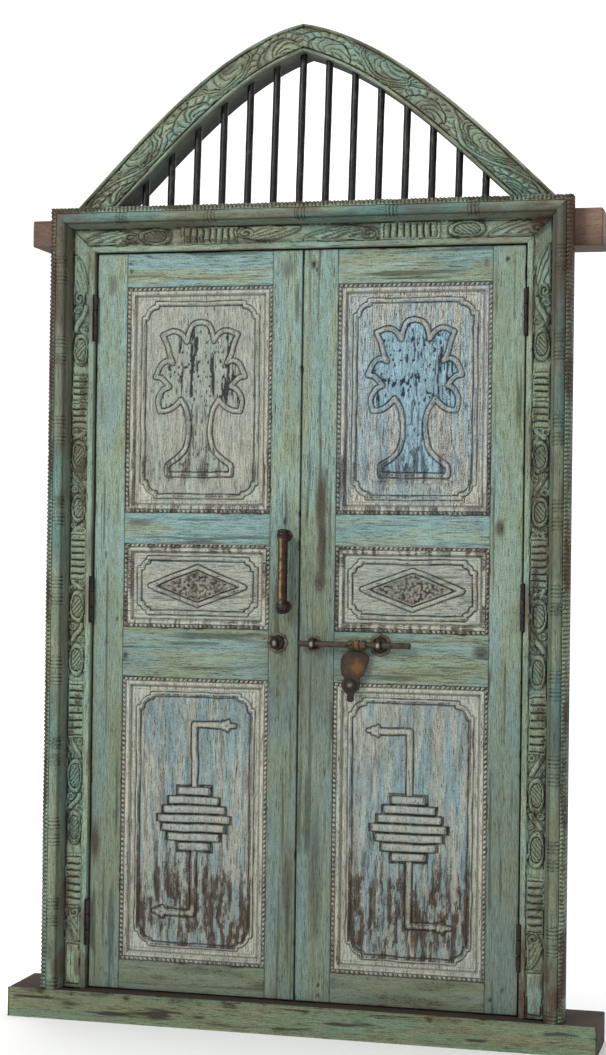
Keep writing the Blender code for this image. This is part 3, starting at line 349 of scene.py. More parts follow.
def smooth_line(points: Profile, steps: int = 8) -> Array:
    """A curve through points: each stretch is the cubic whose slopes are half of (next - before).

    Args:
        points: The points, in order.
        steps: How many pieces each stretch is cut into.

    Returns:
        The points of the curve.
    """
    held = np.array(points, float)
    held = np.concatenate([[2 * held[0] - held[1]], held, [2 * held[-1] - held[-2]]])
    share = np.linspace(0, 1, steps, endpoint=False)[:, None]
    stretches = []
    for before, here, after, beyond in zip(held, held[1:], held[2:], held[3:]):
        slope_in, slope_out = (after - before) / 2, (beyond - here) / 2
        stretches.append(
            here + slope_in * share + (3 * (after - here) - 2 * slope_in - slope_out) * share**2
            + (2 * (here - after) + slope_in + slope_out) * share**3)
    return np.concatenate([*stretches, held[-2:-1]])


def distance_to(x: Array, z: Array, line: Array, closed: bool = False) -> Array:
    """How far each point p is from a chain of stretches a to b: the least of |p - a - t (b - a)|.

    Args:
        x: The points' places in X.
        z: The points' places in Z.
        line: The chain's corners.
        closed: Whether the last corner joins the first.

    Returns:
        The distances.
    """
    ends = np.roll(line, -1, axis=0) if closed else line[1:]
    nearest = np.full(x.shape, 1e9)
    for (ax, az), (bx, bz) in zip(line, ends):
        length = max((bx - ax) ** 2 + (bz - az) ** 2, 1e-12)
        share = np.clip(((x - ax) * (bx - ax) + (z - az) * (bz - az)) / length, 0, 1)
        nearest = np.minimum(nearest, (x - ax - share * (bx - ax)) ** 2 + (z - az - share * (bz - az)) ** 2)
    return np.sqrt(nearest)


def inside(x: Array, z: Array, line: Array) -> Array:
    """Whether points are inside an outline: a ray from each crosses it an odd number of times.

    Args:
        x: The points' places in X.
        z: The points' places in Z.
        line: The outline's corners.

    Returns:
        True for each point inside.
    """
    found = np.zeros(x.shape, bool)
    for (ax, az), (bx, bz) in zip(line, np.roll(line, -1, axis=0)):
        if az != bz:
            found ^= ((az > z) != (bz > z)) & (x < ax + (z - az) / (bz - az) * (bx - ax))
    return found


def shade(red: int, green: int, blue: int) -> Colour:
    """A screen colour, 0 to 255, as linear light: c / 12.92, or ((c + 0.055) / 1.055)^2.4 above 0.04."""
    given = (red / 255, green / 255, blue / 255)
    return (*(c / 12.92 if c <= 0.04045 else ((c + 0.055) / 1.055) ** 2.4 for c in given), 1.0)


class Socket(Enum):
    """The kinds of socket that the node groups have."""

    VECTOR = "NodeSocketVector"
    COLOUR = "NodeSocketColor"
    NUMBER = "NodeSocketFloat"


class Graph:
    """Adds nodes to a node tree and joins them."""

    def __init__(self, tree: bpy.types.NodeTree) -> None:
        """Keep the tree that nodes go into."""
        self.tree = tree

    def feed(self, socket: Any, value: Any) -> None:
        """Join an output to a socket, or set the socket's own value; None leaves it as it is.

        Args:
            socket: The socket.
            value: The output or the value.
        """
        if isinstance(value, bpy.types.NodeSocket):
            self.tree.links.new(value, socket)
        elif value is not None:
            socket.default_value = value

    def add(self, kind: str, inputs: dict[Any, Any] | None = None, **settings: Any) -> Any:
        """Add a node.

        Args:
            kind: The node's type.
            inputs: What feeds its inputs, by name or number.
            settings: Its properties.

        Returns:
            The node.
        """
        node = self.tree.nodes.new(kind)
        for name, value in settings.items():
            setattr(node, name, value)
        for name, value in (inputs or {}).items():
            self.feed(node.inputs[name], value)
        return node

    def sum(self, first: Any, second: Any, operation: str = "ADD", clamp: bool = False) -> Any:
        """Two numbers added, or joined by another operation."""
        return self.add(
            "ShaderNodeMath", {0: first, 1: second}, operation=operation, use_clamp=clamp).outputs[0]

    def times(self, first: Any, second: Any, clamp: bool = False) -> Any:
        """Two numbers multiplied."""
        return self.sum(first, second, "MULTIPLY", clamp)

    def weighted(self, *parts: tuple[Any, float]) -> Any:
        """Numbers added, each times its weight.

        Args:
            parts: Each number and its weight.

        Returns:
            The sum.
        """
        total = self.times(*parts[0])
        for value, weight in parts[1:]:
            total = self.sum(total, self.times(value, weight))
        return total

    def attribute(self, name: str, output: str = "Fac") -> Any:
        """What the mesh holds under a name."""
        return self.add("ShaderNodeAttribute", attribute_name=name).outputs[output]

    def scaled(self, vector: Any, factors: Sequence[float]) -> Any:
        """A vector multiplied part by part."""
        return self.add(
            "ShaderNodeVectorMath", {0: vector, 1: tuple(factors)}, operation="MULTIPLY").outputs[0]

    def noise(
        self, vector: Any, scale: Any, detail: float = 3.0, roughness: float = 0.55, distortion: float = 0.0
    ) -> Any:
        """The value of a noise texture.

        Args:
            vector: Where it is read.
            scale: How many features there are to a unit.
            detail: The number of finer layers.
            roughness: How strong the finer layers are.
            distortion: How far the pattern is bent.

        Returns:
            The socket of the value.
        """
        inputs = {
            "Vector": vector, "Scale": scale, "Detail": detail, "Roughness": roughness,
            "Distortion": distortion
        }
        return self.add("ShaderNodeTexNoise", inputs).outputs["Fac"]

    def ramp(self, value: Any, low: Any, high: Any, to_low: float = 0.0, to_high: float = 1.0) -> Any:
        """A soft step from low to high, or a straight one where it runs downward."""
        inputs = {"Value": value, "From Min": low, "From Max": high, "To Min": to_low, "To Max": to_high}
        return self.add("ShaderNodeMapRange", inputs, interpolation_type="SMOOTHSTEP").outputs["Result"]

    def mix(self, factor: Any, first: Any, second: Any, blend: str = "MIX") -> Any:
        """Two colours mixed.

        Args:
            factor: How much of the second there is.
            first: A colour.
            second: Another.
            blend: How they are mixed.

        Returns:
            The mixed colour.
        """
        node = self.add("ShaderNodeMix", data_type="RGBA", blend_type=blend, clamp_factor=True)
        for name, value in (("Factor", factor), ("A", first), ("B", second)):
            self.feed(node.inputs[name], value)
        return node.outputs["Result"]


def new_group(
    name: str, place: str, colours: Sequence[str], numbers: dict[str, float], results: Sequence[str]
) -> tuple[Any, Graph, Any, Any]:
    """An empty node group with named sockets.

    Args:
        name: The group's name.
        place: Its vector input.
        colours: Its colour inputs.
        numbers: Its number inputs and their defaults.
        results: Its outputs, numbers but for Color.

    Returns:
        The group, its graph, its inputs as outputs to take from, and its output node.
    """
    group = bpy.data.node_groups.new(name, "ShaderNodeTree")
    kinds = {
        place: Socket.VECTOR, **dict.fromkeys(colours, Socket.COLOUR), **dict.fromkeys(numbers, Socket.NUMBER)
    }
    for socket, kind in kinds.items():
        made = group.interface.new_socket(socket, in_out="INPUT", socket_type=kind.value)
        if kind is Socket.NUMBER:
            made.default_value = numbers[socket]
    for socket in results:
        kind = Socket.COLOUR if socket == "Color" else Socket.NUMBER
        group.interface.new_socket(socket, in_out="OUTPUT", socket_type=kind.value)
    graph = Graph(group)
    return group, graph, graph.add("NodeGroupInput").outputs, graph.add("NodeGroupOutput")


def aged_paint_group() -> bpy.types.NodeTree:
    """Layers of old paint on grained wood.

    It is streaked along the grain and blue in places, and gone where a weighted sum of fine noises, wear and
    bareness passes a limit. Its crests are lightened as a painted highlight. Dirt and painted shade lie in
    the hollows, dirt in fine cracks, and rust stains over it all, some of which are painted shade.

    Returns:
        The node group.
    """
    numbers = {
        "Hollow": 0.0, "Crest": 0.0, "Blueness": 0.0, "Bareness": 0.0, "Stain": 0.0, "Wear": 0.3,
        "Crackle": 0.5, "Streaks": 1.0, "Lift": 0.2
    }
    colours = ("Paint", "Second", "Blue", "Wood", "Dirt", "Rust")
    results = ("Color", "Roughness", "Height")
    group, graph, take, result = new_group("aged_paint", "Lay", colours, numbers, results)
    along = graph.scaled(take["Lay"], (1.0, 1.0, 0.045))
    fine = graph.noise(along, 420.0, 5.0, 0.7)
    hairs = graph.noise(graph.scaled(take["Lay"], (1.0, 1.0, 0.09)), 560.0, 3.0, 0.7, 0.3)
    broad = graph.noise(along, 75.0, 4.0, 0.6)
    patches = graph.noise(graph.scaled(take["Lay"], (1.0, 1.0, 0.22)), 15.0, 6.0, 0.66, 0.5)
    specks = graph.noise(take["Lay"], 300.0, 4.0, 0.65)
    turn = graph.sum(patches, graph.times(graph.sum(broad, -0.5), 0.7))
    paint = graph.mix(graph.ramp(turn, 0.40, 0.60), take["Paint"], take["Second"])
    washed = graph.sum(graph.sum(broad, graph.sum(patches, fine)), graph.times(take["Blueness"], 0.45))
    amount = graph.times(take["Blueness"], 1.5, True)
    washed = graph.times(graph.ramp(washed, 1.32, 1.86), amount, True)
    paint = graph.mix(washed, paint, take["Blue"])
    uneven = graph.sum(graph.sum(fine, graph.sum(hairs, specks)), -1.5)
    clouded = graph.times(graph.sum(graph.sum(broad, patches), -1.0), 0.50)
    # Painted highlight: the crests are lightened by a share of the tone.
    tone = graph.sum(graph.times(take["Crest"], take["Lift"]), graph.sum(clouded, 1.0))
    tone = graph.sum(graph.times(uneven, take["Streaks"]), tone)
    paint = graph.mix(
        1.0, paint, graph.add("ShaderNodeCombineColor", {0: tone, 1: tone, 2: tone}).outputs[0], "MULTIPLY")
    timber = graph.mix(graph.ramp(fine, 0.35, 0.65), take["Dirt"], take["Wood"])
    loss = graph.weighted(
        (hairs, 0.46), (broad, 0.10), (fine, 0.44), (graph.sum(specks, -0.5), 0.35),
        (take["Bareness"], 0.38), (take["Crest"], 0.12), (take["Wear"], 0.22))
    gone = graph.ramp(loss, 0.69, 0.77)
    skin = graph.mix(gone, paint, timber)
    cracks = graph.times(graph.ramp(graph.sum(fine, hairs), 0.90, 0.74), take["Crackle"], True)
    # Dirt and painted shade: the hollow mask darkens toward the dirt colour, as do fine cracks.
    grime_and_shade = graph.times(take["Hollow"], graph.ramp(specks, 0.25, 0.6, 0.75, 1.15), True)
    grime_and_shade = graph.sum(grime_and_shade, cracks, "MAXIMUM", True)
    skin = graph.mix(grime_and_shade, skin, take["Dirt"])
    # The stain mask mixes in the rust colour: real stains, and painted shade low on the leaves and on the
    # lintel's left horn.
    stained = graph.times(take["Stain"], graph.ramp(graph.sum(patches, specks), 0.75, 1.15, 0.50, 1.1), True)
    skin = graph.mix(stained, skin, take["Rust"])
    graph.feed(result.inputs["Color"], skin)
    graph.feed(result.inputs["Roughness"], graph.ramp(graph.sum(gone, grime_and_shade), 0.0, 1.0, 0.56, 0.88))
    height = graph.weighted((fine, 0.7), (broad, 0.3), (gone, -0.22), (cracks, -0.35))
    graph.feed(result.inputs["Height"], height)
    return group


def aged_iron_group() -> bpy.types.NodeTree:
    """Old forged iron: dark skin, brown and orange rust in blotches, lighter metal on the crests as a painted
    highlight with some rub, and near-black dirt and painted shade in the hollows.

    Returns:
        The node group.
    """
    numbers = {"Hollow": 0.0, "Crest": 0.0, "Rustiness": 0.5, "Orangeness": 0.2}
    results = ("Color", "Roughness", "Metallic", "Height")
    group, graph, take, result = new_group(
        "aged_iron", "Place", ("Iron", "Brown", "Orange", "Rub"), numbers, results)
    blotches = graph.noise(take["Place"], 70.0, 5.0, 0.62, 0.3)
    grains = graph.noise(take["Place"], 520.0, 4.0, 0.65)
    flow = graph.noise(take["Place"], 23.0, 3.0, 0.5)
    rust = graph.ramp(graph.sum(blotches, graph.times(take["Rustiness"], 0.5)), 0.62, 0.84)
    skin = graph.mix(rust, take["Iron"], take["Brown"])
    flame = graph.ramp(graph.sum(flow, graph.times(take["Orangeness"], 0.5)), 0.66, 0.86)
    skin = graph.mix(graph.times(flame, graph.ramp(grains, 0.35, 0.6, 0.4, 1.0)), skin, take["Orange"])
    # Painted highlight, with some rubbed metal, where the crest mask is.
    rubbed = graph.times(take["Crest"], graph.ramp(blotches, 0.35, 0.6, 0.25, 1.0), True)
    skin = graph.mix(rubbed, skin, take["Rub"])
    # Dirt and painted shade: near-black in the hollows.
    skin = graph.mix(graph.times(take["Hollow"], 0.85), skin, (0.006, 0.005, 0.004, 1.0))
    graph.feed(result.inputs["Color"], skin)
    graph.feed(result.inputs["Roughness"], graph.ramp(graph.sum(rust, grains), 0.2, 1.6, 0.30, 0.74))
    graph.feed(result.inputs["Metallic"], graph.ramp(rust, 0.0, 1.0, 0.60, 0.20))
    graph.feed(result.inputs["Height"], graph.weighted((grains, 0.6), (blotches, 0.4)))
    return group


@dataclass(frozen=True)
class Finish:
    """What every finish has: a name, a slot, and a material whose layers are a shared node group."""

    name: str
    slot: str
    bump: float = field(default=0.0008, kw_only=True)
    strength: float = field(default=0.8, kw_only=True)
    gloss: float = field(default=0.35, kw_only=True)

    def inputs(self, graph: Graph) -> dict[str, Any]:
        """What feeds the node group; each kind of finish gives its own."""
        raise NotImplementedError

    def build(self, group: bpy.types.NodeTree) -> bpy.types.Material:
        """Make the material.

        Args:
            group: The shared node group of this kind of finish.

        Returns:
            The material.
        """
        made = bpy.data.materials.new(self.name)
        made.use_nodes = True
        graph = Graph(made.node_tree)
        layers = graph.add("ShaderNodeGroup", self.inputs(graph), node_tree=group)
        heights = {"Strength": self.strength, "Distance": self.bump, "Height": layers.outputs["Height"]}
        relief = graph.add("ShaderNodeBump", heights)
        shader = made.node_tree.nodes["Principled BSDF"].inputs
        graph.feed(shader["Base Color"], layers.outputs["Color"])
        for name in ("Roughness", "Metallic"):
            graph.feed(shader[name], layers.outputs.get(name))
        graph.feed(shader["Normal"], relief.outputs["Normal"])
        graph.feed(shader["Specular IOR Level"], self.gloss)
        return made


@dataclass(frozen=True)
class PaintedWood(Finish):
    """A finish of old paint on wood."""

    paint: Colour
    second: Colour
    blue: Colour
    wood: Colour = shade(84, 62, 46)
    # The colour of dirt, and of the painted shade in the hollows.
    dirt: Colour = shade(34, 29, 22)
    # The colour of stains; on the leaves and on the bare timber it also paints shade through the stain mask.
    rust: Colour = shade(72, 46, 30)
    wear: float = 0.3
    crackle: float = 0.5
    streaks: float = 1.0
    # How much the crests are lightened, as a painted highlight.
    lift: float = 0.18

    def inputs(self, graph: Graph) -> dict[str, Any]:
        """What feeds the paint's node group.

        Args:
            graph: The material's graph, which reads the piece's masks.

        Returns:
            The colours, the amounts and the piece's own masks, by the group's names.
        """
        return {
            "Lay": graph.attribute("lay", "Vector"), "Paint": self.paint, "Second": self.second,
            "Blue": self.blue, "Wood": self.wood, "Dirt": self.dirt, "Rust": self.rust,
            "Hollow": graph.attribute("hollow"), "Crest": graph.attribute("crest"),
            "Blueness": graph.attribute("blue"), "Bareness": graph.attribute("bare"),
            "Stain": graph.attribute("stain"), "Wear": self.wear, "Crackle": self.crackle,
            "Streaks": self.streaks, "Lift": self.lift
        }


@dataclass(frozen=True)
class OldIron(Finish):
    """A finish of old forged iron."""

    iron: Colour = shade(30, 27, 25)
    brown: Colour = shade(40, 29, 23)
    orange: Colour = shade(66, 43, 27)
    # The lighter colour on the crests: a painted highlight, and rubbed metal.
    rub: Colour = shade(176, 160, 132)
    rustiness: float = 0.5
    orangeness: float = 0.2
    bump: float = field(default=0.0005, kw_only=True)
    strength: float = field(default=0.7, kw_only=True)
    gloss: float = field(default=0.5, kw_only=True)

    def inputs(self, graph: Graph) -> dict[str, Any]:
        """What feeds the iron's node group.

        Args:
            graph: The material's graph, which reads the piece's masks.

        Returns:
            The colours, the amounts, the piece's own masks and its place, by the group's names.
        """
        return {
            "Place": graph.add("ShaderNodeTexCoord").outputs["Object"], "Iron": self.iron,
            "Brown": self.brown, "Orange": self.orange, "Rub": self.rub,
            "Hollow": graph.attribute("hollow"), "Crest": graph.attribute("crest"),
            "Rustiness": self.rustiness, "Orangeness": self.orangeness,
        }


LEAF_PAINT = PaintedWood(
    "leaf_paint", "leaf_wood", shade(124, 136, 111), shade(123, 140, 125), shade(112, 140, 137),
    wood=shade(80, 72, 56), dirt=shade(36, 38, 29), rust=shade(60, 54, 41), wear=0.18, crackle=0.72,
    streaks=2.1)
FRAME_PAINT = PaintedWood(
    "frame_paint", "frame_wood", shade(131, 141, 117), shade(121, 139, 122), shade(94, 130, 122),
    wood=shade(84, 72, 56), dirt=shade(29, 31, 23), rust=shade(72, 51, 38), wear=0.24, crackle=0.75,
    streaks=2.1, lift=0.34)
PANEL_PAINT = PaintedWood(
    "panel_paint", "panel_wood", shade(163, 163, 149), shade(151, 157, 146), shade(126, 148, 149),
    wood=shade(88, 74, 60), dirt=shade(38, 37, 34), rust=shade(84, 70, 56), wear=0.26, crackle=0.9,
    streaks=2.1, lift=0.30, bump=0.0011)
CREAM_TREE_PAINT = replace(
    PANEL_PAINT, name="cream_tree_paint", blue=shade(143, 155, 144), dirt=shade(38, 42, 42))
BLUE_TREE_PAINT = replace(
    PANEL_PAINT, name="blue_tree_paint", second=shade(146, 153, 148), blue=shade(134, 166, 178),
    dirt=shade(34, 44, 56), streaks=3.2)
SILL_PAINT = PaintedWood(
    "sill_paint", "leaf_wood", shade(109, 112, 84), shade(99, 114, 90), shade(98, 118, 100),
    wood=shade(76, 70, 50), dirt=shade(34, 33, 24), rust=shade(52, 37, 28), wear=0.22, crackle=0.8,
    streaks=2.0)
BARE_TIMBER = PaintedWood(
    "bare_timber", "bare_wood", shade(134, 108, 92), shade(118, 95, 80), shade(122, 102, 88),
    wood=shade(102, 78, 62), dirt=shade(44, 31, 24), rust=shade(62, 41, 31), wear=0.3, crackle=0.5,
    streaks=1.4)
BAR_IRON = OldIron(
    "bar_iron", "iron_bars", iron=shade(31, 31, 31), brown=shade(38, 33, 30), rub=shade(96, 90, 82),
    rustiness=0.3, orangeness=0.0)
OLD_IRON = OldIron("old_iron", "rusty_iron")
# The pull's lighter colour is a golden painted highlight, the hasp's a white painted glint on its boss.
PULL_IRON = OldIron(
    "pull_iron", "rusty_iron", brown=shade(54, 30, 23), orange=shade(84, 46, 27), rub=shade(176, 142, 82))
HASP_IRON = OldIron(
    "hasp_iron", "rusty_iron", brown=shade(58, 41, 27), orange=shade(112, 79, 36), rub=shade(206, 200, 190),
    rustiness=0.75, orangeness=0.30)


class Palette:
    """The finished materials, each built once."""

    def __init__(self) -> None:
        """Build the shared node groups."""
        self.paint = aged_paint_group()
        self.iron = aged_iron_group()
        self.made: dict[str, bpy.types.Material] = {}

    def of(self, finish: Finish) -> bpy.types.Material:
        """The material of a finish, built when it is first asked for.

        Args:
            finish: The finish.

        Returns:
            Its material.
        """
        if finish.name not in self.made:
            group = self.iron if isinstance(finish, OldIron) else self.paint
            self.made[finish.name] = finish.build(group)
        return self.made[finish.name]


class Workshop:
    """Turns surfaces into pieces that ride on the frame's bodies."""

    def __init__(self, frame: dict[str, Any]) -> None:
        """Learn each node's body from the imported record.
        """
        self.palette = Palette()
        bodies = frame["record"]["behaviour"]["bodies"]
        self.body_of = {node: body for body, nodes in bodies.items() for node in nodes}
        self.triangles = 0

    def fit(
        self, name: str, shell: Shell, finish: Finish, nodes: Sequence[str], crease: float = 48.0
    ) -> bpy.types.Object:
        """Make the piece, dress it, and put it in place of its CAD nodes.

        Args:
            name: The piece's name.
            shell: Its surface.
            finish: Its finish.
            nodes: The CAD nodes that it stands for.
            crease: The angle in degrees above which an edge stays sharp.

        Returns:
            The piece.
        """
        mesh = bpy.data.meshes.new(name)
        mesh.from_pydata(shell.points.tolist(), [], shell.quads.tolist() + shell.triangles.tolist())
        lay = mesh.attributes.new("lay", "FLOAT_VECTOR", "POINT")
        lay.data.foreach_set("vector", shell.lay.astype(np.float32).ravel())
        for mask in MASKS:
            values = np.clip(shell.masks[mask], 0.0, 1.0).astype(np.float32)
            mesh.attributes.new(mask, "FLOAT", "POINT").data.foreach_set("value", values)
        mesh.materials.append(self.palette.of(finish))
        mesh.shade_smooth()
        mesh.set_sharp_from_angle(angle=math.radians(crease))
        piece = bpy.data.objects.new(name, mesh)
        bpy.context.scene.collection.objects.link(piece)
        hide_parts(*nodes)
        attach(piece, self.body_of[nodes[0]])
        count = 2 * len(shell.quads) + len(shell.triangles)
        self.triangles += count
        LOG.info("%s: %d triangles for %s", name, count, ", ".join(nodes))
        return piece


def seeded(lay: Array, seed: int) -> Array:
    """Places along the grain moved by a whole step, so that no two boards share a grain."""
    return lay + seed * np.array([3.17, 1.73, 5.31])


def carved_masks(height: Array, reach: int, depth: float) -> Masks:
    """Where dirt and painted shade gather and where a surface rubs bare and takes a painted highlight: its
    height against the mean height round it.

    Args:
        height: How far each point stands out.
        reach: How many points to each side the broader of two means takes in; the other takes in one.
        depth: The difference that counts as fully hollow or fully proud.

    Returns:
        The hollow mask, for dirt and painted shade, and the crest mask, for wear and a painted highlight.
    """
    broad = height - blurred(blurred(height, reach), reach)
    thin = height - blurred(height, 1)
    return {
        "hollow": np.maximum(
            eased(0.12, 1.0, -broad / depth), 0.9 * eased(0.10, 1.0, -thin / (0.45 * depth))),
        "crest": np.maximum(eased(0.15, 1.0, broad / depth), 0.8 * eased(0.15, 1.0, thin / (0.45 * depth)))
    }


class Motif(Enum):
    """What is carved in a panel."""

    TREE = "tree_panel"
    DIAMOND = "diamond_panel"
    ROD = "rod_panel"


@dataclass
class Panel:
    """A carved panel with its notched moulding, plain fillet, stepped cartouche and motif."""

    leaf: str
    motif: Motif
    side: int
    seed: int
    pitch: float = 0.0021
    face: float = 0.0105
    back: float = 0.030
    roll_width: float = 0.0084
    roll_rise: float = 0.0100
    notch_pitch: float = 0.0117
    fillet_width: float = 0.0090
    fillet_rise: float = 0.0078
    ridge_rise: float = 0.0022
    groove_depth: float = 0.0018
    tree_width: float = 0.220
    tree_height: float = 0.372
    diamond_width: float = 0.240
    diamond_height: float = 0.092
    medallion_width: float = 0.188
    medallion_height: float = 0.156
    rod_width: float = 0.013
    rod_reach: float = 0.235
    rod_arm: float = 0.092
    node: str = field(init=False)

    def __post_init__(self) -> None:
        """Take the panel's place from its CAD node, and lay a grid of points over it."""
        self.node = f"{self.leaf}_{self.motif.value}"
        low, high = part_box(self.node)
        self.low, self.high = np.array([low.x, low.z]), np.array([high.x, high.z])
        size = self.high - self.low
        counts = np.maximum(2, np.round(size / self.pitch).astype(int))
        self.x, self.z = np.meshgrid(*[np.linspace(a, b, n) for a, b, n in zip(self.low, self.high, counts)])
        self.centre = (self.low + self.high) / 2
        self.weather = Weather(self.seed)
        # Painted shade added by the carving: notches, troughs, seams and the gaps between pebbles are
        # darkened.
        self.dark = np.zeros(self.x.shape)

    def edge(self) -> tuple[Array, Array]:
        """The distance of each point from the nearest side, and its place along that side.

        Returns:
            The distances and the places.
        """
        to_x = np.minimum(self.x - self.low[0], self.high[0] - self.x)
        to_z = np.minimum(self.z - self.low[1], self.high[1] - self.z)
        return np.minimum(to_x, to_z), np.where(to_x < to_z, self.z, self.x)

    def moulding(self) -> Array:
        """A half-round roll cut by slanting notches, a quirk, then a plain fillet that drops to the field.

        The roll is sqrt(1 - t^2) over its width, a notch a soft step of the cosine of the slanted place over
        the pitch, and the fillet lies between two soft steps.

        Returns:
            How far each point stands out.
        """
        edge, along = self.edge()
        half = self.roll_width / 2
        roll = np.sqrt(bump((edge - half) / half))
        phase = (along + 0.55 * edge) / self.notch_pitch
        notch = eased(0.30, 0.85, np.cos(2 * np.pi * phase) * 0.5 + 0.5) * roll
        rise = np.where(
            edge < self.roll_width, 0.0055 + (self.roll_rise - 0.0055) * roll - 0.0038 * notch, 0.0)
        # Painted shade in the notches.
        self.dark = np.maximum(self.dark, 0.95 * notch * (edge < self.roll_width))
        start = self.roll_width + 0.0012
        end = start + self.fillet_width
        fillet = self.fillet_rise * eased(self.roll_width, start, edge)
        fillet = fillet * eased(end + 0.0016, end - 0.0010, edge)
        quirk = 0.0052 * eased(start, self.roll_width, edge) * (edge >= self.roll_width)
        return np.maximum(rise, np.maximum(fillet, quirk))

    def ridge(self, line: Array, half_width: float, closed: bool = True) -> Array:
        """A raised line with a groove to each side: a hump over |d| < w and a trough out to w + 2g.

        Args:
            line: The line's corners.
            half_width: w, half the width of the hump.
            closed: Whether the last corner joins the first.

        Returns:
            How far each point stands out.
        """
        distance = distance_to(*self.hand_cut(), line, closed)
        groove = 0.0021
        hump = self.ridge_rise * bump(distance / half_width) ** 0.7
        trough = bump((distance - half_width - groove) / groove)
        # Painted shade in the troughs.
        self.dark = np.maximum(self.dark, 0.9 * trough**0.6)
        return hump - self.groove_depth * trough

    def hand_cut(self) -> tuple[Array, Array]:
        """Move the points by slow noise of up to 1.5 mm, so that no carved line runs quite true.

        Returns:
            The moved x and z.
        """
        return (
            self.x + 0.0030 * (self.weather.at(self.x * 24, self.z * 24) - 0.5),
            self.z + 0.0030 * (self.weather.at(self.x * 24 + 31, self.z * 24 + 7) - 0.5))

    def cartouche(self, margin: float, step: float, radius: float) -> Array:
        """The cartouche's closed line: at each corner a small step in, a quarter round and a step out again.

        Args:
            margin: Its distance from the panel's sides.
            step: The small step.
            radius: The quarter round's radius.

        Returns:
            The line's points.
        """
        corners = []
        turn = np.linspace(0, np.pi / 2, 7)
        for to_x, to_z in ((1, 1), (-1, 1), (-1, -1), (1, -1)):
            corner_x = (self.low[0] + margin) if to_x > 0 else (self.high[0] - margin)
            corner_z = (self.low[1] + margin) if to_z > 0 else (self.high[1] - margin)
            reach = step + radius
            arc = np.stack([
                corner_x + to_x * (reach - radius * np.cos(turn)),
                corner_z + to_z * (reach - radius * np.sin(turn))], -1)
            line = np.concatenate([
                [(corner_x, corner_z + to_z * reach)], arc, [(corner_x + to_x * reach, corner_z)]])
            corners.append(line if to_x * to_z > 0 else line[::-1])
        return np.concatenate(corners)

    def tree(self) -> tuple[Array, Array]:
        """The tree: a raised outline of five lobes over a waisted trunk and a spread foot.

        Returns:
            How far each point stands out, and 1 inside the tree.
        """
        strokes = (
            ((0.00, 0.50), (0.17, 0.485), (0.27, 0.435), (0.31, 0.376)),
            ((0.31, 0.376), (0.44, 0.425), (0.62, 0.442), (0.86, 0.418)),
            ((0.86, 0.418), (0.76, 0.350), (0.70, 0.285), (0.62, 0.236)),
            ((0.62, 0.236), (0.76, 0.250), (0.91, 0.222), (1.03, 0.146)),
            ((1.03, 0.146), (0.90, 0.138), (0.80, 0.112), (0.70, 0.080)),
            ((0.70, 0.080), (0.85, 0.058), (0.96, -0.005), (0.92, -0.080)),
            ((0.92, -0.080), (0.74, -0.074), (0.58, -0.048), (0.44, -0.005)),
            ((0.44, -0.005), (0.30, -0.080), (0.24, -0.200), (0.31, -0.315), (0.48, -0.380), (0.72, -0.430)),
            ((0.72, -0.430), (0.74, -0.460), (0.73, -0.495)),
        )
        right = np.concatenate([smooth_line(stroke, 5)[:-1] for stroke in strokes] + [[(0.73, -0.495)]])
        outline = np.concatenate([right, right[1:][::-1] * (-1, 1)])
        outline = self.centre + outline * (self.tree_width / 2, self.tree_height) + (0.0, 0.003)
        within = inside(self.x, self.z, outline) & (distance_to(self.x, self.z, outline, True) > 0.0052)
        rise = self.ridge(outline, 0.0044)
        if self.side > 0:
            foot = self.centre[1] - self.tree_height / 2 - 0.010
            bar = bump((self.x - self.centre[0]) / (self.tree_width * 0.42)) > 0
            rise = rise + 0.0022 * bump((self.z - foot) / 0.004) * bar
        return rise, within.astype(float)

    def diamond(self) -> tuple[Array, Array]:
        """The diamond: a raised rim round a field of pebbles, each sqrt(1 - t^2) about a seeded centre.

        Returns:
            How far each point stands out, and 1 inside the rim.
        """
        half_x, half_z = self.diamond_width / 2, self.diamond_height / 2
        corners = self.centre + np.array([(half_x, 0), (0, half_z), (-half_x, 0), (0, -half_z)])
        inner = self.centre + (corners - self.centre) * 0.76
        within = inside(self.x, self.z, inner)
        step = 0.0070
        column, row = self.x / step, self.z / step
        nearest = np.full(self.x.shape, 9.0)
        for shift_x in (-1, 0, 1):
            for shift_z in (-1, 0, 1):
                cell_x, cell_z = np.floor(column) + shift_x, np.floor(row) + shift_z
                jump_x = self.weather.at(cell_x, cell_z + 31)
                jump_z = self.weather.at(cell_x + 57, cell_z)
                nearest = np.minimum(nearest, np.hypot(column - cell_x - jump_x, row - cell_z - jump_z))
        pebbles = 0.0034 * np.sqrt(bump(nearest / 0.62)) - 0.0012
        between = np.where(within, 0.82 * eased(0.38, 0.62, nearest), 0.0)
        rise = self.ridge(corners, 0.0042) + self.ridge(inner, 0.0022) * 0.7
        # Painted shade between the pebbles.
        self.dark = np.where(within, np.maximum(self.dark * 0.3, between), self.dark)
        return np.where(within, np.maximum(rise * 0.4, 0) + pebbles, rise), within.astype(float)

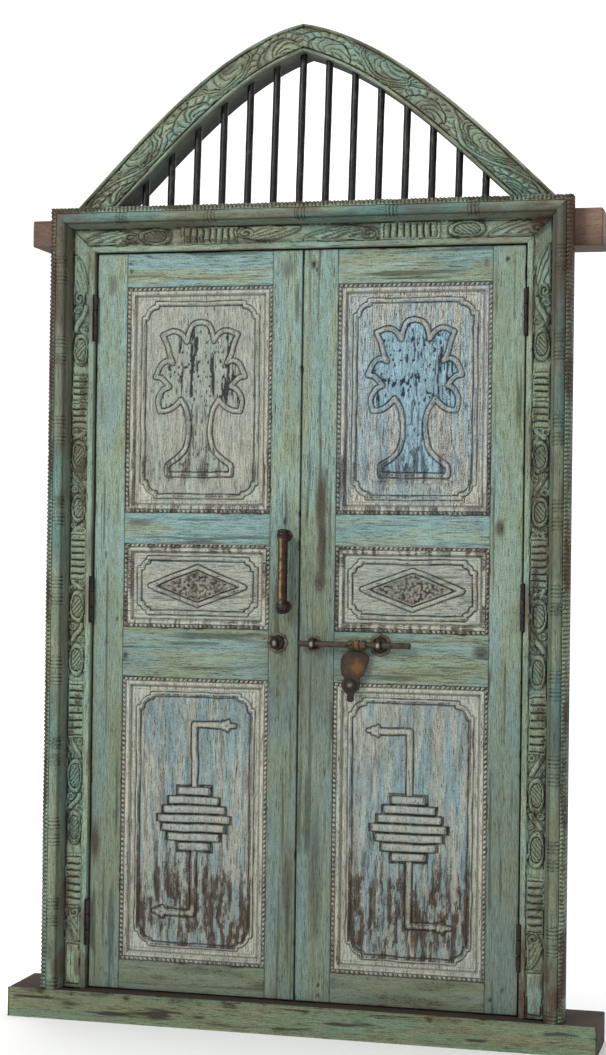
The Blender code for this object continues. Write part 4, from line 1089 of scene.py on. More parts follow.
    def rod(self) -> tuple[Array, Array]:
        """The rod: a raised bar with an arm and a flower at each end, and a medallion of stepped laths.

        The bar is a soft step of the distance from its line. A lath is sqrt(1 - t^2) over its own tier, as
        long as its share of the medallion's width.

        Returns:
            How far each point stands out, and how much of it is part of the motif.
        """
        x, z = self.hand_cut()
        x, z = x - self.centre[0], z - self.centre[1] - 0.004
        half = self.rod_width / 2
        rise = np.zeros(x.shape)
        filled = np.zeros(x.shape)
        near, far = self.medallion_height / 2, self.rod_reach
        for up, toward in ((1, -self.side), (-1, self.side)):
            end = (far - half) * up
            reach = [toward * (self.rod_arm + step) for step in (-0.022, -0.012, -0.002, 0.008)]
            away = distance_to(x, z, np.array([(0.0, near * up), (0.0, end), (reach[0], end)]))
            flower = np.hypot(x - reach[1], z - end)
            petal = 0.0125 * (1 + 0.16 * np.cos(5 * np.arctan2(z - end, x - reach[1])))
            tip = distance_to(x, z, np.array([(reach[2], end), (reach[3], end)]))
            body = np.minimum(away - half, np.minimum(flower - petal, tip - 0.004))
            level = eased(0.0006, -0.0018, body) - 0.55 * bump(flower / 0.005)
            rise = np.maximum(rise, 0.0034 * level)
            trough = bump((body - 0.0023) / 0.0023)
            rise = rise - 0.0020 * trough
            # Painted shade in the troughs and at each flower's middle.
            self.dark = np.maximum(self.dark, np.maximum(0.95 * trough**0.6, 0.5 * bump(flower / 0.004)))
            filled = np.maximum(filled, eased(0.001, -0.001, body))
        shares = (0.46, 0.68, 0.84, 1.0, 0.88, 0.72, 0.46)
        tier = self.medallion_height / len(shares)
        row = np.clip(np.floor((near - z) / tier), 0, len(shares) - 1).astype(int)
        wobble = 0.004 * (self.weather.at(row * 3.3 + np.sign(x) * 11, row * 1.7) - 0.5)
        reach = np.array(shares)[row] * self.medallion_width / 2 + wobble - np.abs(x)
        phase = (near - z) / tier - row
        lath = np.sqrt(bump((phase - 0.5) / 0.46)) * eased(-0.0004, 0.005, reach)
        within = (np.abs(z) < near) & (reach > 0)
        rise = np.where(within, 0.0056 * lath - 0.0012 * (1 - lath), rise)
        beyond = np.where(np.abs(z) < near, -reach, np.maximum(np.abs(z) - near, -reach))
        brink = bump((beyond - 0.0024) / 0.0024)
        rise = np.where(within, rise, rise - 0.0018 * brink * (filled < 0.5))
        # Painted shade in the seams between the laths and along the medallion's brink.
        seams = 0.95 * eased(0.80, 0.42, lath)
        self.dark = np.where(within, seams, np.maximum(self.dark, 0.9 * brink**0.6 * (filled < 0.5)))
        return rise, np.maximum(filled, within.astype(float) * 0.8)

    def grain(self) -> tuple[Array, Array]:
        """Weathered grain: long streaks of up to half a millimetre, and gouges where it is worst.

        Returns:
            The streaks' relief, and where the gouges are.
        """
        across, along = (self.z, self.x) if self.motif is Motif.DIAMOND else (self.x, self.z)
        streak = self.weather.layers(across * 210, along * 11)
        broad = self.weather.layers(across * 60 + 9, along * 5)
        gouge = eased(0.555, 0.67, self.weather.layers(across * 190 + 40, along * 17 + 3))
        pecks = eased(0.66, 0.77, self.weather.layers(across * 200 + 70, along * 85 + 11, 2))
        gouge = np.maximum(gouge * eased(0.36, 0.60, broad), pecks * (self.motif is Motif.TREE))
        return 0.0010 * (streak - 0.5), gouge

    def build(self, shop: Workshop) -> None:
        """Carve the panel, mark where its paint differs, and fit it.

        Args:
            shop: Where pieces are fitted.
        """
        margin, radius = (0.036, 0.015) if self.motif is Motif.DIAMOND else (0.040, 0.026)
        line = self.cartouche(margin, 0.008, radius)
        carve = {Motif.TREE: self.tree, Motif.DIAMOND: self.diamond, Motif.ROD: self.rod}[self.motif]
        motif, filled = carve()
        edge, _ = self.edge()
        mould = self.moulding()
        framed = edge < self.roll_width + self.fillet_width + 0.004
        grain, gouges = self.grain()
        border = -0.0009 * bump((edge - 0.0295) / 0.0013)
        lines = np.where(framed, 0.0, motif + self.ridge(line, 0.0038) * (filled < 0.5) + border)
        height_share = (self.z - self.low[1]) / (self.high[1] - self.low[1])
        field = inside(self.x, self.z, line)
        height_above = (self.z - self.centre[1]) / (self.high[1] - self.low[1])
        lobes = filled * (0.36 + 0.90 * eased(-0.05, 0.10, height_above))
        low_down = 0.40 + 0.50 * eased(0.6, 0.15, height_share)
        rough = {Motif.TREE: 0.18 + lobes, Motif.DIAMOND: 0.35, Motif.ROD: low_down * (1 - 0.9 * filled)}
        gouging = gouges * rough[self.motif] * np.where(field, 1.0, 0.25) * ~framed
        rise = mould + lines + grain * np.where(framed, 0.4, 1.0) - 0.0012 * gouging
        masks = carved_masks(rise, 2, 0.0020)
        depth = {Motif.TREE: 0.80, Motif.DIAMOND: 0.85, Motif.ROD: 0.55}[self.motif]
        gouged = depth * np.minimum(1, 1.3 * gouging) * eased(0.3, 0.8, gouges)
        patchy = 0.55 + 0.75 * self.weather.layers(self.x * 90 + 5, self.z * 40 + 3, 2)
        dull = {Motif.TREE: 0.15, Motif.DIAMOND: 0.16, Motif.ROD: 0.12}[self.motif] * field
        # Hollow: dirt and painted shade in the hollows, dark gouges, the painted shade of the carving, and a
        # flat darkening of the field.
        masks["hollow"] = np.maximum(0.6 * masks["hollow"] + gouged, self.dark * patchy) + dull
        # The moulding counts as crest: it wears more and takes the painted highlight.
        masks["crest"] = np.maximum(masks["crest"], 0.78 * framed)
        masks.update(self.paint_masks(field, framed, filled, height_share))
        y = self.face - rise
        front = np.stack([self.x, y, self.z], -1)
        rows = len(self.z)
        corner = np.stack([np.full((rows, 2), self.back), np.repeat(self.z[:, :1], 2, 1)], -1)
        behind = np.concatenate([np.tile([[[self.high[0]], [self.low[0]]]], (rows, 1, 1)), corner], -1)
        rings = np.concatenate([front, behind], axis=1)
        lay = rings[..., [2, 1, 0]] if self.motif is Motif.DIAMOND else rings
        wide = {name: np.pad(value, ((0, 0), (0, 2)), constant_values=0.08) for name, value in masks.items()}
        tree_paint = BLUE_TREE_PAINT if self.side > 0 else CREAM_TREE_PAINT
        shop.fit(
            f"{self.leaf}_{self.motif.name.lower()}_carving", loft(rings, seeded(lay, self.seed), wide),
            tree_paint if self.motif is Motif.TREE else PANEL_PAINT, [self.node])

    def paint_masks(self, field: Array, framed: Array, filled: Array, height_share: Array) -> Masks:
        """Where the whitewash turns blue and where it is scraped to the wood, as the door shows it.

        Args:
            field: Inside the cartouche.
            framed: On the moulding.
            filled: Inside the motif.
            height_share: Height above the foot, as a share of the panel's.

        Returns:
            The blue, the bare and the stain masks.
        """
        cloud = self.weather.layers(self.x * 105, self.z * 10 + 5)
        low_down = eased(0.50, 0.16, height_share) * (1 - 0.45 * eased(0.15, 0.07, height_share))
        worn = eased(0.38, 0.64, self.weather.layers(self.x * 110 + 3, self.z * 15 + 1))
        flecks = eased(0.42, 0.62, self.weather.layers(self.x * 170 + 9, self.z * 62 + 2, 2))
        edge, _ = self.edge()
        if self.motif is Motif.TREE:
            on_tree, around = (0.72, 0.36) if self.side > 0 else (0.42, 0.12)
            blue = filled * on_tree + field * around * (0.3 + worn)
            bare = 0.10 * filled + 0.16 * worn * field + 0.20 * low_down * worn
        elif self.motif is Motif.DIAMOND:
            blue = 0.3 * field * worn
            bare = 0.10 * filled + 0.14 * worn
        else:
            blue = field * (0.20 + 0.55 * eased(0.38, 0.64, cloud)) * (1 - 0.7 * filled)
            scraped = 0.10 + 0.20 * worn + low_down * (0.09 + 0.20 * worn + 0.26 * flecks)
            bare = field * scraped * (1 - 0.5 * filled)
        outer = eased(0.022, 0.0, edge)
        at_foot = eased(0.14, 0.0, height_share) * worn
        return {
            "blue": blue,
            "bare": bare + 0.09 * framed * worn + 0.05 * at_foot * outer,
            "stain": (0.08 * outer * worn + 0.14 * low_down * (self.motif is Motif.ROD)
                      + 0.35 * filled * (self.motif is Motif.DIAMOND)),
        }


@dataclass(frozen=True)
class Pit:
    """A nail hole, knot, bruise or smear on a board: its place, half sizes, how dark it is and how deep."""

    x: float
    z: float
    half_x: float = 0.003
    half_z: float = 0.003
    dark: float = 1.0
    deep: float = 0.0022


@dataclass
class Board:
    """A straight board of a leaf, worn at its arrises, its weathered grain running along it."""

    node: str
    seed: int
    upright: bool
    pits: tuple[Pit, ...] = ()
    blue: float = 0.25
    bare: float = 0.10
    finish: PaintedWood = LEAF_PAINT
    across_pitch: float = 0.0026
    along_pitch: float = 0.0080
    arris: float = 0.0016

    def grime_and_shade(self, x: Array, z: Array) -> Array:
        """Painted shade low down, more on the right, and the dirt of hands in a broad smear round the bolt.
        """
        # Painted shade: darker toward the foot, and more on the right leaf low down.
        foot = 0.36 * eased(1.15, 0.55, z) + 0.08 * (x > 0.3) * eased(0.75, 0.45, z)
        # The dirt of hands in a broad smear round the bolt.
        return foot + 0.40 * eased(0.16, 0.03, np.abs(x)) * eased(0.34, 0.10, np.abs(z - 0.97))

    def build(self, shop: Workshop) -> None:
        """Loft the board along its grain: each ring is a rectangle with round arrises and a weathered front.

        Args:
            shop: Where pieces are fitted.
        """
        low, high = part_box(self.node)
        near, far = (low.x, high.x) if self.upright else (low.z, high.z)
        start, end = (low.z, high.z) if self.upright else (low.x, high.x)
        turn = np.linspace(0, np.pi / 2, 4)
        cut = self.arris
        face = np.linspace(near + cut, far - cut, max(6, round((far - near) / self.across_pitch)))
        across = np.concatenate([
            near + cut * (1 - np.sin(turn[::-1]))[:-1], face, far - cut * (1 - np.sin(turn))[1:],
            [far, far - cut, (far + near) / 2, near + cut, near]])
        depth = np.concatenate([
            low.y + cut * (1 - np.cos(turn[::-1]))[:-1], np.full(len(face), low.y),
            low.y + cut * (1 - np.cos(turn))[1:], [high.y - cut, high.y, high.y, high.y, high.y - cut]])
        stops = np.array([0.0, 0.0012, 0.004])
        along = np.linspace(start + 0.008, end - 0.008, round((end - start) / self.along_pitch))
        along = np.concatenate([start + stops, along, end - stops[::-1]])
        shrink = np.interp(np.minimum(along - start, end - along), [0, 0.0012], [cut * 0.7, 0])
        weather = Weather(self.seed)
        u, v = np.meshgrid(across, along)
        front = (depth < low.y + cut * 1.01) & (np.arange(len(across)) < len(across) - 5)
        streak = weather.layers(u * 170, v * 7) - 0.5
        crack = eased(0.70, 0.80, weather.layers(u * 120 + 50, v * 4 + 8, 2))
        middle = (near + far) / 2
        chips = eased(0.60, 0.86, weather.layers(v * 38 + 20, np.sign(u - middle) * 5 + 9))
        arrised = eased(0.005, 0.0, np.minimum(u - near, far - u))
        sink = np.where(front, -0.0007 * streak + 0.0009 * crack + 0.0008 * chips * arrised, 0.0)
        x, z = (u, v) if self.upright else (v, u)
        dark = np.zeros(u.shape)
        stain = np.zeros(u.shape)
        for pit in self.pits:
            away = np.hypot((x - pit.x) / pit.half_x, (z - pit.z) / pit.half_z)
            away = away + 0.5 * (weather.layers(x * 60, z * 22) - 0.5)
            sink = sink + np.where(front, pit.deep * pit.dark * bump(away), 0.0)
            dark = np.maximum(dark, pit.dark * eased(1.15, 0.45, away) * (pit.deep > 0))
            stain = np.maximum(stain, pit.dark * eased(1.9, 0.5, away) * (0.4 if pit.deep else 1.0))
        y = depth + sink + shrink[:, None] * (depth < (low.y + high.y) / 2)
        y = np.minimum(y, high.y)
        u = middle + (u - middle) * (1 - 0.4 * shrink / (far - near))[:, None]
        x, z = (u, v) if self.upright else (v, u)
        rings = np.stack([x, y, z], -1)
        lay = np.stack([u, y, v], -1)
        cloud = weather.layers(u * 26, v * 5.3)
        scrapes = weather.layers(u * 30 + 3, v * 6)
        # The stain mask holds the pits' smears, the painted shade toward the foot and the dirt round the
        # bolt.
        masks = {
            "hollow": dark + 0.55 * crack * front + 0.30 * eased(0.0030, 0.0, np.minimum(u - near, far - u)),
            "crest": arrised * chips,
            "blue": self.blue * 2.0 * eased(0.36, 0.66, cloud) * np.ones(u.shape),
            "bare": self.bare + 0.35 * chips * arrised + 0.22 * eased(0.55, 0.75, scrapes),
            "stain": stain + self.grime_and_shade(x, z),
        }
        shop.fit(f"{self.node}_board", loft(rings, seeded(lay, self.seed), masks), self.finish, [self.node])


class Carving(Enum):
    """A motif in the carved band of a casing."""

    LEAF = "leaf"
    OVAL = "oval"
    REEDS = "reeds"
    WAVE = "wave"
    BLOCK = "block"


@dataclass
class Casing:
    """A mitred casing: lip, carved band, cove, bead with groups of rings, and a notched outer band."""

    label: str
    side: int
    seed: int
    lip_width: float = 0.013
    lip_front: float = -0.0125
    band_width: float = 0.045
    band_front: float = -0.0075
    cove_width: float = 0.009
    bead_width: float = 0.026
    bead_seat: float = -0.032
    notch_width: float = 0.014
    notch_front: float = -0.036
    back: float = 0.010
    notch_pitch: float = 0.0098
    ring_step: float = 0.196
    ring_pitch: float = 0.0092
    ring_split: float = 0.0205
    pitch: float = 0.0023
    foot: float = 0.0703
    relief: float = 0.0034
    notch_depth: float = 0.0034
    knuckle_reach: float = 0.0042

    JAMB_DROPS = (
        (Carving.LEAF, 0.006, 0.124, 1), (Carving.WAVE, 0.131, 0.190, 1), (Carving.OVAL, 0.198, 0.276, 1),
        (Carving.REEDS, 0.300, 0.362, 1), (Carving.REEDS, 0.368, 0.433, -1), (Carving.WAVE, 0.437, 0.460, 1),
        (Carving.OVAL, 0.462, 0.535, 1), (Carving.WAVE, 0.540, 0.588, -1), (Carving.OVAL, 0.592, 0.660, 1),
        (Carving.WAVE, 0.664, 0.686, 1), (Carving.REEDS, 0.690, 0.802, 1), (Carving.WAVE, 0.806, 0.828, -1),
        (Carving.OVAL, 0.829, 0.905, 1), (Carving.WAVE, 0.908, 0.955, 1), (Carving.OVAL, 0.958, 1.037, 1),
        (Carving.REEDS, 1.056, 1.183, -1), (Carving.WAVE, 1.190, 1.238, -1), (Carving.OVAL, 1.242, 1.323, 1),
        (Carving.WAVE, 1.326, 1.366, 1), (Carving.OVAL, 1.368, 1.450, 1), (Carving.REEDS, 1.480, 1.599, 1),
        (Carving.LEAF, 1.606, 1.684, -1), (Carving.BLOCK, 1.694, 1.790, 1),
    )
    HEAD_PLACES = (
        (Carving.LEAF, -0.562, -0.428, -1), (Carving.OVAL, -0.418, -0.338, 1),
        (Carving.REEDS, -0.305, -0.177, 1), (Carving.LEAF, -0.165, -0.014, 1),
        (Carving.LEAF, -0.004, 0.172, -1), (Carving.REEDS, 0.190, 0.318, 1), (Carving.OVAL, 0.346, 0.430, 1),
        (Carving.LEAF, 0.440, 0.566, -1))

    @property
    def width(self) -> float:
        """The whole width of the casing."""
        return self.lip_width + self.band_width + self.cove_width + self.bead_width + self.notch_width

    @property
    def band_end(self) -> float:
        """The outer edge of the carved band, from the lip."""
        return self.lip_width + self.band_width

    @property
    def bead_start(self) -> float:
        """The inner edge of the bead, from the lip."""
        return self.band_end + self.cove_width

    @property
    def band_middle(self) -> float:
        """The middle of the carved band, from the lip."""
        return self.lip_width + self.band_width / 2

    def section(self) -> tuple[Array, Array]:
        """The section, from the back of the lip round the front to the outer back.

        Returns:
            Distances from the lip, and places in Y.
        """
        band_end, bead_start = self.band_end, self.bead_start
        radius = self.bead_width / 2
        turn = np.linspace(0, np.pi, 15)
        quarter = np.linspace(0, np.pi / 2, 5)[1:]
        lip = np.array([
            0.0, 0.0012, self.knuckle_reach, self.knuckle_reach + 0.0003, 0.0085, self.lip_width - 0.0010])
        band = np.linspace(self.lip_width + 0.0015, band_end, 21)
        notch = np.linspace(bead_start + self.bead_width + 0.0010, self.width - 0.0008, 7)
        across = np.concatenate([
            [0.0], lip, [self.lip_width + 0.0002], band,
            band_end + self.cove_width * (1 - np.cos(quarter))[:-1] * 0.8,
            bead_start + radius - radius * np.cos(turn), notch, [self.width] * 3])
        depth = np.concatenate([
            [self.back], [self.lip_front + 0.0012], [self.lip_front] * 5, [self.lip_front + 0.0014],
            [self.band_front] * 21,
            self.band_front + (self.bead_seat - self.band_front) * np.sin(quarter)[:-1] * 0.9,
            self.bead_seat - radius * np.sin(turn), [self.notch_front] * 7,
            [self.notch_front + 0.0009, self.notch_front + 0.008, self.back]])
        return across, depth

    def stations(self, length: float) -> Array:
        """Where rings of points stand: an even pitch, with stops at the ends of each hinge's notch.

        Args:
            length: The casing's length at the lip.

        Returns:
            Shares of the length.
        """
        shares = np.linspace(0, 1, round(length / self.pitch))
        if self.side:
            reach = HINGE_HEIGHT / 2 + RUN_GAP
            edges = [
                height + end * (reach + step) - self.foot for height in HINGE_HEIGHTS for end in (-1, 1)
                for step in (0.0, 0.0003)]
            shares = np.unique(np.concatenate([shares, np.array(edges) / length]))
        return shares

    def leaf(self, p: Array, q: Array, lobes: int) -> Array:
        """A leaf that grows from its spine: swept lobes that overlap like scales, and a volute at its root.

        Lobe k is where the phase lobes (q + 0.75 p^1.6) passes k; each rises sharply and falls away slowly.
        The volute is a spiral, the ridges of cos(2 pi (r / 0.30 - angle / (2 pi))) within a circle.

        Args:
            p: Place across the band, 0 on the spine.
            q: Place along the leaf, from 0 to 1.
            lobes: How many lobes.

        Returns:
            The relief, about -1 to 1.
        """
        phase = lobes * (q + 0.75 * np.clip(p, 0, 1) ** 1.6)
        part = phase - np.floor(phase)
        swell = np.sin(np.pi * np.clip(q, 0.0, 1.0) ** 0.8 * 0.93 + 0.12)
        outline = np.clip(swell, 0, 1) ** 0.7 * (0.84 + 0.16 * np.sin(np.pi * part) ** 0.7)
        lobe = eased(0.0, 0.22, part) * (1.10 - 1.05 * part)
        vein = bump((p - 0.07) / 0.09)
        within = eased(0.03, -0.03, p - outline) * (q > 0) * (q < 1) * (p > -0.02)
        east, north = (q - 0.10) * lobes * 0.62, p - 0.42
        radius = np.hypot(east, north)
        spiral = np.cos(2 * np.pi * (radius / 0.30 - np.arctan2(north, east) / (2 * np.pi)))
        leafy = -0.8 + within * (0.35 + 1.40 * np.maximum(lobe * eased(0.10, 0.20, p), 0.9 * vein))
        return np.where(radius < 0.40, 0.15 + 0.95 * spiral, leafy)

    def oval(self, p: Array, q: Array, long: float) -> Array:
        """An oval: a raised ring, a deep groove within it, and a domed middle cut by slanting hatches.

        Args:
            p: Place across the band, from -1 to 1.
            q: Place along the oval, from -1 to 1.
            long: Half its length.

        Returns:
            The relief, about -1 to 1.
        """
        away = np.sqrt(np.abs(p) ** 2.3 + np.abs(q) ** 2.3)
        ring = 1.9 * bump((away - 0.86) / 0.16) * (away < 1.02)
        hatch = np.sin(np.pi * (p * 0.0175 + q * long * 0.75) / 0.0092) ** 2
        middle = (0.35 + 1.15 * hatch) * eased(0.66, 0.58, away)
        return -0.85 + ring + middle

    def wave(self, p: Array, q: Array, side: int, length: float) -> Array:
        """A stem along half a cosine that crosses the band, broad and flat, with a curl to each side.

        Args:
            p: Place across the band, from -1 to 1.
            q: Place along the stretch, from 0 to 1.
            side: Which way it swings.
            length: The stretch's length.

        Returns:
            The relief, about -1 to 1.
        """
        swing = np.cos(np.pi * np.clip(q, 0, 1))
        half = self.band_width / 2 - 0.004
        slope = 0.72 * np.pi * half / length * np.sin(np.pi * np.clip(q, 0, 1))
        away = (p - side * 0.66 * swing) / np.sqrt(1 + slope**2)
        stem = 1.7 * bump(away / 0.27) ** 0.6
        curl = np.hypot(
            p + side * 0.62 * np.sign(0.5 - q), (q - np.where(q < 0.5, 0.16, 0.84)) * length / half)
        return -0.85 + np.maximum(stem, 1.3 * np.maximum(bump((curl - 0.34) / 0.14), bump(curl / 0.14)))

    def band(self, a: Array, t: Array) -> Array:
        """The carved band: a sunk ground, and each motif worked out over its own stretch of the casing.

        Args:
            a: Distance from the lip.
            t: Place along the casing.

        Returns:
            How far each point stands out.
        """
        half = self.band_width / 2 - 0.004
        hand = Weather(self.seed + 1)
        p = (a - self.band_middle) / half + 0.16 * (hand.at(t * 45, a * 60) - 0.5)
        t = t + 0.0045 * (hand.at(t * 38 + 9, a * 70 + 3) - 0.5)
        rise = np.full(a.shape, -0.55)
        motifs = self.HEAD_PLACES
        if self.side:
            motifs = [
                (kind, OPENING_TOP - foot, OPENING_TOP - top, turn)
                for kind, top, foot, turn in self.JAMB_DROPS]
        for kind, start, end, side in motifs:
            q = (t - start) / (end - start)
            mine = (q > -0.05) & (q < 1.05) & (np.abs(p) < 1.08)
            if kind is Carving.LEAF:
                lobes = max(4, round((end - start) / 0.033))
                shape = self.leaf((1 - side * p) / 2 * 1.05, q if side > 0 else 1 - q, lobes)
            elif kind is Carving.OVAL:
                shape = self.oval(p, 2 * q - 1, (end - start) / 2)
            elif kind is Carving.REEDS:
                count = max(3, round((end - start) / 0.0170))
                part = q * count - np.floor(q * count)
                inside_box = eased(0.96, 0.90, np.abs(p)) * (q > 0.0) * (q < 1.0)
                reeds = -1.0 + 2.0 * bump((part - 0.5) / 0.40) ** 0.6
                shape = np.where(inside_box > 0, reeds * inside_box, 0.15)
            elif kind is Carving.WAVE:
                shape = self.wave(p, q, side, end - start)
            else:
                away = np.maximum(np.abs(p) / 0.9, np.abs(2 * q - 1))
                shape = 0.7 * eased(1.0, 0.93, away) - 0.8 * bump((away - 1.03) / 0.05)
            rise = np.where(mine, shape, rise)
        edge_line = 0.9 * bump((np.abs(p) - 1.13) / 0.06)
        rise = np.where(np.abs(p) < 1.07, np.clip(rise, -1.0, 1.15), 0.1)
        return np.where(np.abs(p) < 1.25, self.relief * (rise - edge_line), 0.0)

    def rings(self, a: Array, t: Array) -> Array:
        """Groups of three thin rings on the bead, a cosine along it within 1.5 pitches of each place.

        Args:
            a: Distance from the lip.
            t: Place along the casing.

        Returns:
            How far each point stands out.
        """
        on_bead = (a > self.bead_start - 0.0002) & (a < self.bead_start + self.bead_width + 0.0002)
        if self.side:
            places = OPENING_TOP - 0.045 - self.ring_step * np.arange(10)
        else:
            places = np.array([-0.455, -0.232, -0.008, 0.214, 0.408])
        nearest = np.abs(t[..., None] - places).min(axis=-1)
        nearest = np.abs(nearest - self.ring_split * abs(self.side))
        ripple = np.cos(2 * np.pi * nearest / self.ring_pitch)
        return np.where(on_bead & (nearest < 1.5 * self.ring_pitch), 0.0013 * ripple - 0.0004, 0.0)

    def notches(self, a: Array, t: Array, depth: Array) -> Array:
        """Notches across the outer arris: a soft step of the cosine of the place over the pitch."""
        there = (a > self.bead_start + self.bead_width + 0.0025) & (depth < self.notch_front + 0.01)
        return -self.notch_depth * eased(0.05, 0.75, np.cos(2 * np.pi * t / self.notch_pitch)) * there

    def feet(self, a: Array, t: Array, weather: Weather) -> Array:
        """Worn wood at the foot of a jamb and up its outer edge, and at the mitres of the head.

        Args:
            a: Distance from the lip.
            t: Place along the casing.
            weather: The casing's noise.

        Returns:
            How stained each point is.
        """
        cloud = weather.layers(a * 45, t * 16)
        if self.side:
            foot = 0.75 * eased(0.30, 0.09, t) * eased(0.38, 0.58, cloud)
            return foot + 0.30 * eased(0.096, 0.106, a) * eased(0.4, 0.6, cloud)
        return 0.70 * eased(0.50, 0.61, np.abs(t)) * eased(0.35, 0.58, cloud)

    def build(self, shop: Workshop) -> None:
        """Loft the casing along its length, its ends mitred at the top corners, and fit it.

        Args:
            shop: Where pieces are fitted.
        """
        across, depth = self.section()
        if self.side:
            start, length = self.foot, OPENING_TOP - TOUCH_GAP - self.foot
            shares = self.stations(length)
            a, s = np.meshgrid(across, shares)
            t = start + s * (length + a)
        else:
            length = 2 * (OPENING_HALF - TOUCH_GAP)
            shares = self.stations(length)
            a, s = np.meshgrid(across, shares)
            t = -(OPENING_HALF - TOUCH_GAP) - a + s * (length + 2 * a)
        d = np.broadcast_to(depth, a.shape)
        weather = Weather(self.seed)
        grain = weather.layers(a * 190, t * 8) - 0.5
        chips = eased(0.66, 0.80, weather.layers(t * 40, a * 60))
        front = (d < self.band_front + 0.001) & (a > 0.0005)
        band = np.where(front & (a > self.lip_width) & (a < self.band_end), self.band(a, t), 0.0)
        rise = band + self.rings(a, t) + self.notches(a, t, d) + np.where(front, 0.0007 * grain, 0.0)
        proud = (np.abs(a - self.lip_width) < 0.0018) | (a > self.width - 0.004)
        rise = rise - 0.0012 * chips * proud
        path = np.stack([np.gradient(across), np.gradient(depth)])
        path /= np.maximum(np.hypot(*path), 1e-9)
        out_a, out_d = path[1] * front, np.where(front, -path[0], 0.0)
        a_moved = a + out_a * rise
        d_moved = d + out_d * rise
        if self.side:
            for height in HINGE_HEIGHTS:
                notch = np.abs(t - height) <= HINGE_HEIGHT / 2 + RUN_GAP + 1e-5
                notch = notch & (a <= self.knuckle_reach + 1e-6) & (d_moved < -0.0001)
                d_moved = np.where(notch, -0.0001, d_moved)
        masks = self.masks(a, t, rise, d_moved, weather)
        if self.side:
            rings = np.stack([self.side * (OPENING_HALF + a_moved), d_moved, t], -1)
        else:
            rings = np.stack([t, d_moved, OPENING_TOP + a_moved], -1)
        lay = np.stack([a_moved, d_moved, t], -1)
        shell = loft(rings, seeded(lay, self.seed), masks)
        shop.fit(f"{self.label}_carving", shell, FRAME_PAINT, [self.label])

    def masks(self, a: Array, t: Array, rise: Array, moved: Array, weather: Weather) -> Masks:
        """Dirt and painted shade in the carving, painted shade in the cove and on the bead, wear and a
        painted highlight on what stands proud, blue on the bead, rust by the hinges.

        Args:
            a: Distance from the lip.
            t: Place along the casing.
            rise: How far the carving stands out.
            moved: Place in Y once it is carved.
            weather: The casing's noise.

        Returns:
            The masks.
        """
        fine = carved_masks(rise, 2, 0.0021 if self.side else 0.0016)
        # Painted shade in the broad recesses of the section, and dirt and painted shade on the sunk ground of
        # the band.
        broad = carved_masks(-moved, 4, 0.010)
        sunk = eased(0.0000, -0.0030, rise) * (a > self.lip_width) * (a < self.band_end)
        cloud = weather.layers(a * 20, t * 4)
        bead = (a > self.bead_start) & (a < self.bead_start + self.bead_width)
        # Painted shade in the cove.
        cove = bump((a - self.band_end - self.cove_width * 0.6) / (self.cove_width * 0.9))
        outer = eased(self.width - 0.013, self.width - 0.006, a)
        # Painted shade on the bead, deeper on the head and the right jamb than on the left.
        shaded = {-1: 0.14, 0: 0.36, 1: 0.32}[self.side]
        patchy = (0.50 + 0.60 * weather.layers(a * 90 + 7, t * 45, 2)) * np.where(bead, 0.55, 0.88)
        stain = 0.45 * eased(0.50, 0.72, weather.layers(a * 24 + 40, t * 7))
        if self.side:
            for height in HINGE_HEIGHTS:
                by_hinge = bump((t - height) / (HINGE_HEIGHT * 0.62)) * eased(0.030, 0.004, a)
                stain = np.maximum(stain, 0.75 * by_hinge)
            high_up = eased(0.50, 0.05, OPENING_TOP - t) * eased(0.045, 0.075, a)
            stain = np.maximum(stain, 0.95 * high_up * eased(0.32, 0.55, cloud))
        carved = patchy * fine["hollow"] + 0.12 * sunk
        on_bead = (0.34 if self.side else 0.9) * eased(0.38, 0.6, cloud)
        # Hollow: dirt and painted shade in the carving, plus the painted shade of the recesses, the cove and
        # the bead. Crest: the outer band wears and takes the painted highlight.
        return {
            "hollow": carved + 0.40 * broad["hollow"] + 0.55 * cove + shaded * bead,
            "crest": fine["crest"] + 0.5 * outer * (rise > -0.001),
            "blue": bead * on_bead + 0.34 * eased(0.52, 0.68, cloud),
            "bare": 0.08 + 0.08 * outer + 0.22 * eased(0.52, 0.7, weather.layers(a * 40 + 5, t * 9)),
            "stain": stain + self.feet(a, t, weather),
        }


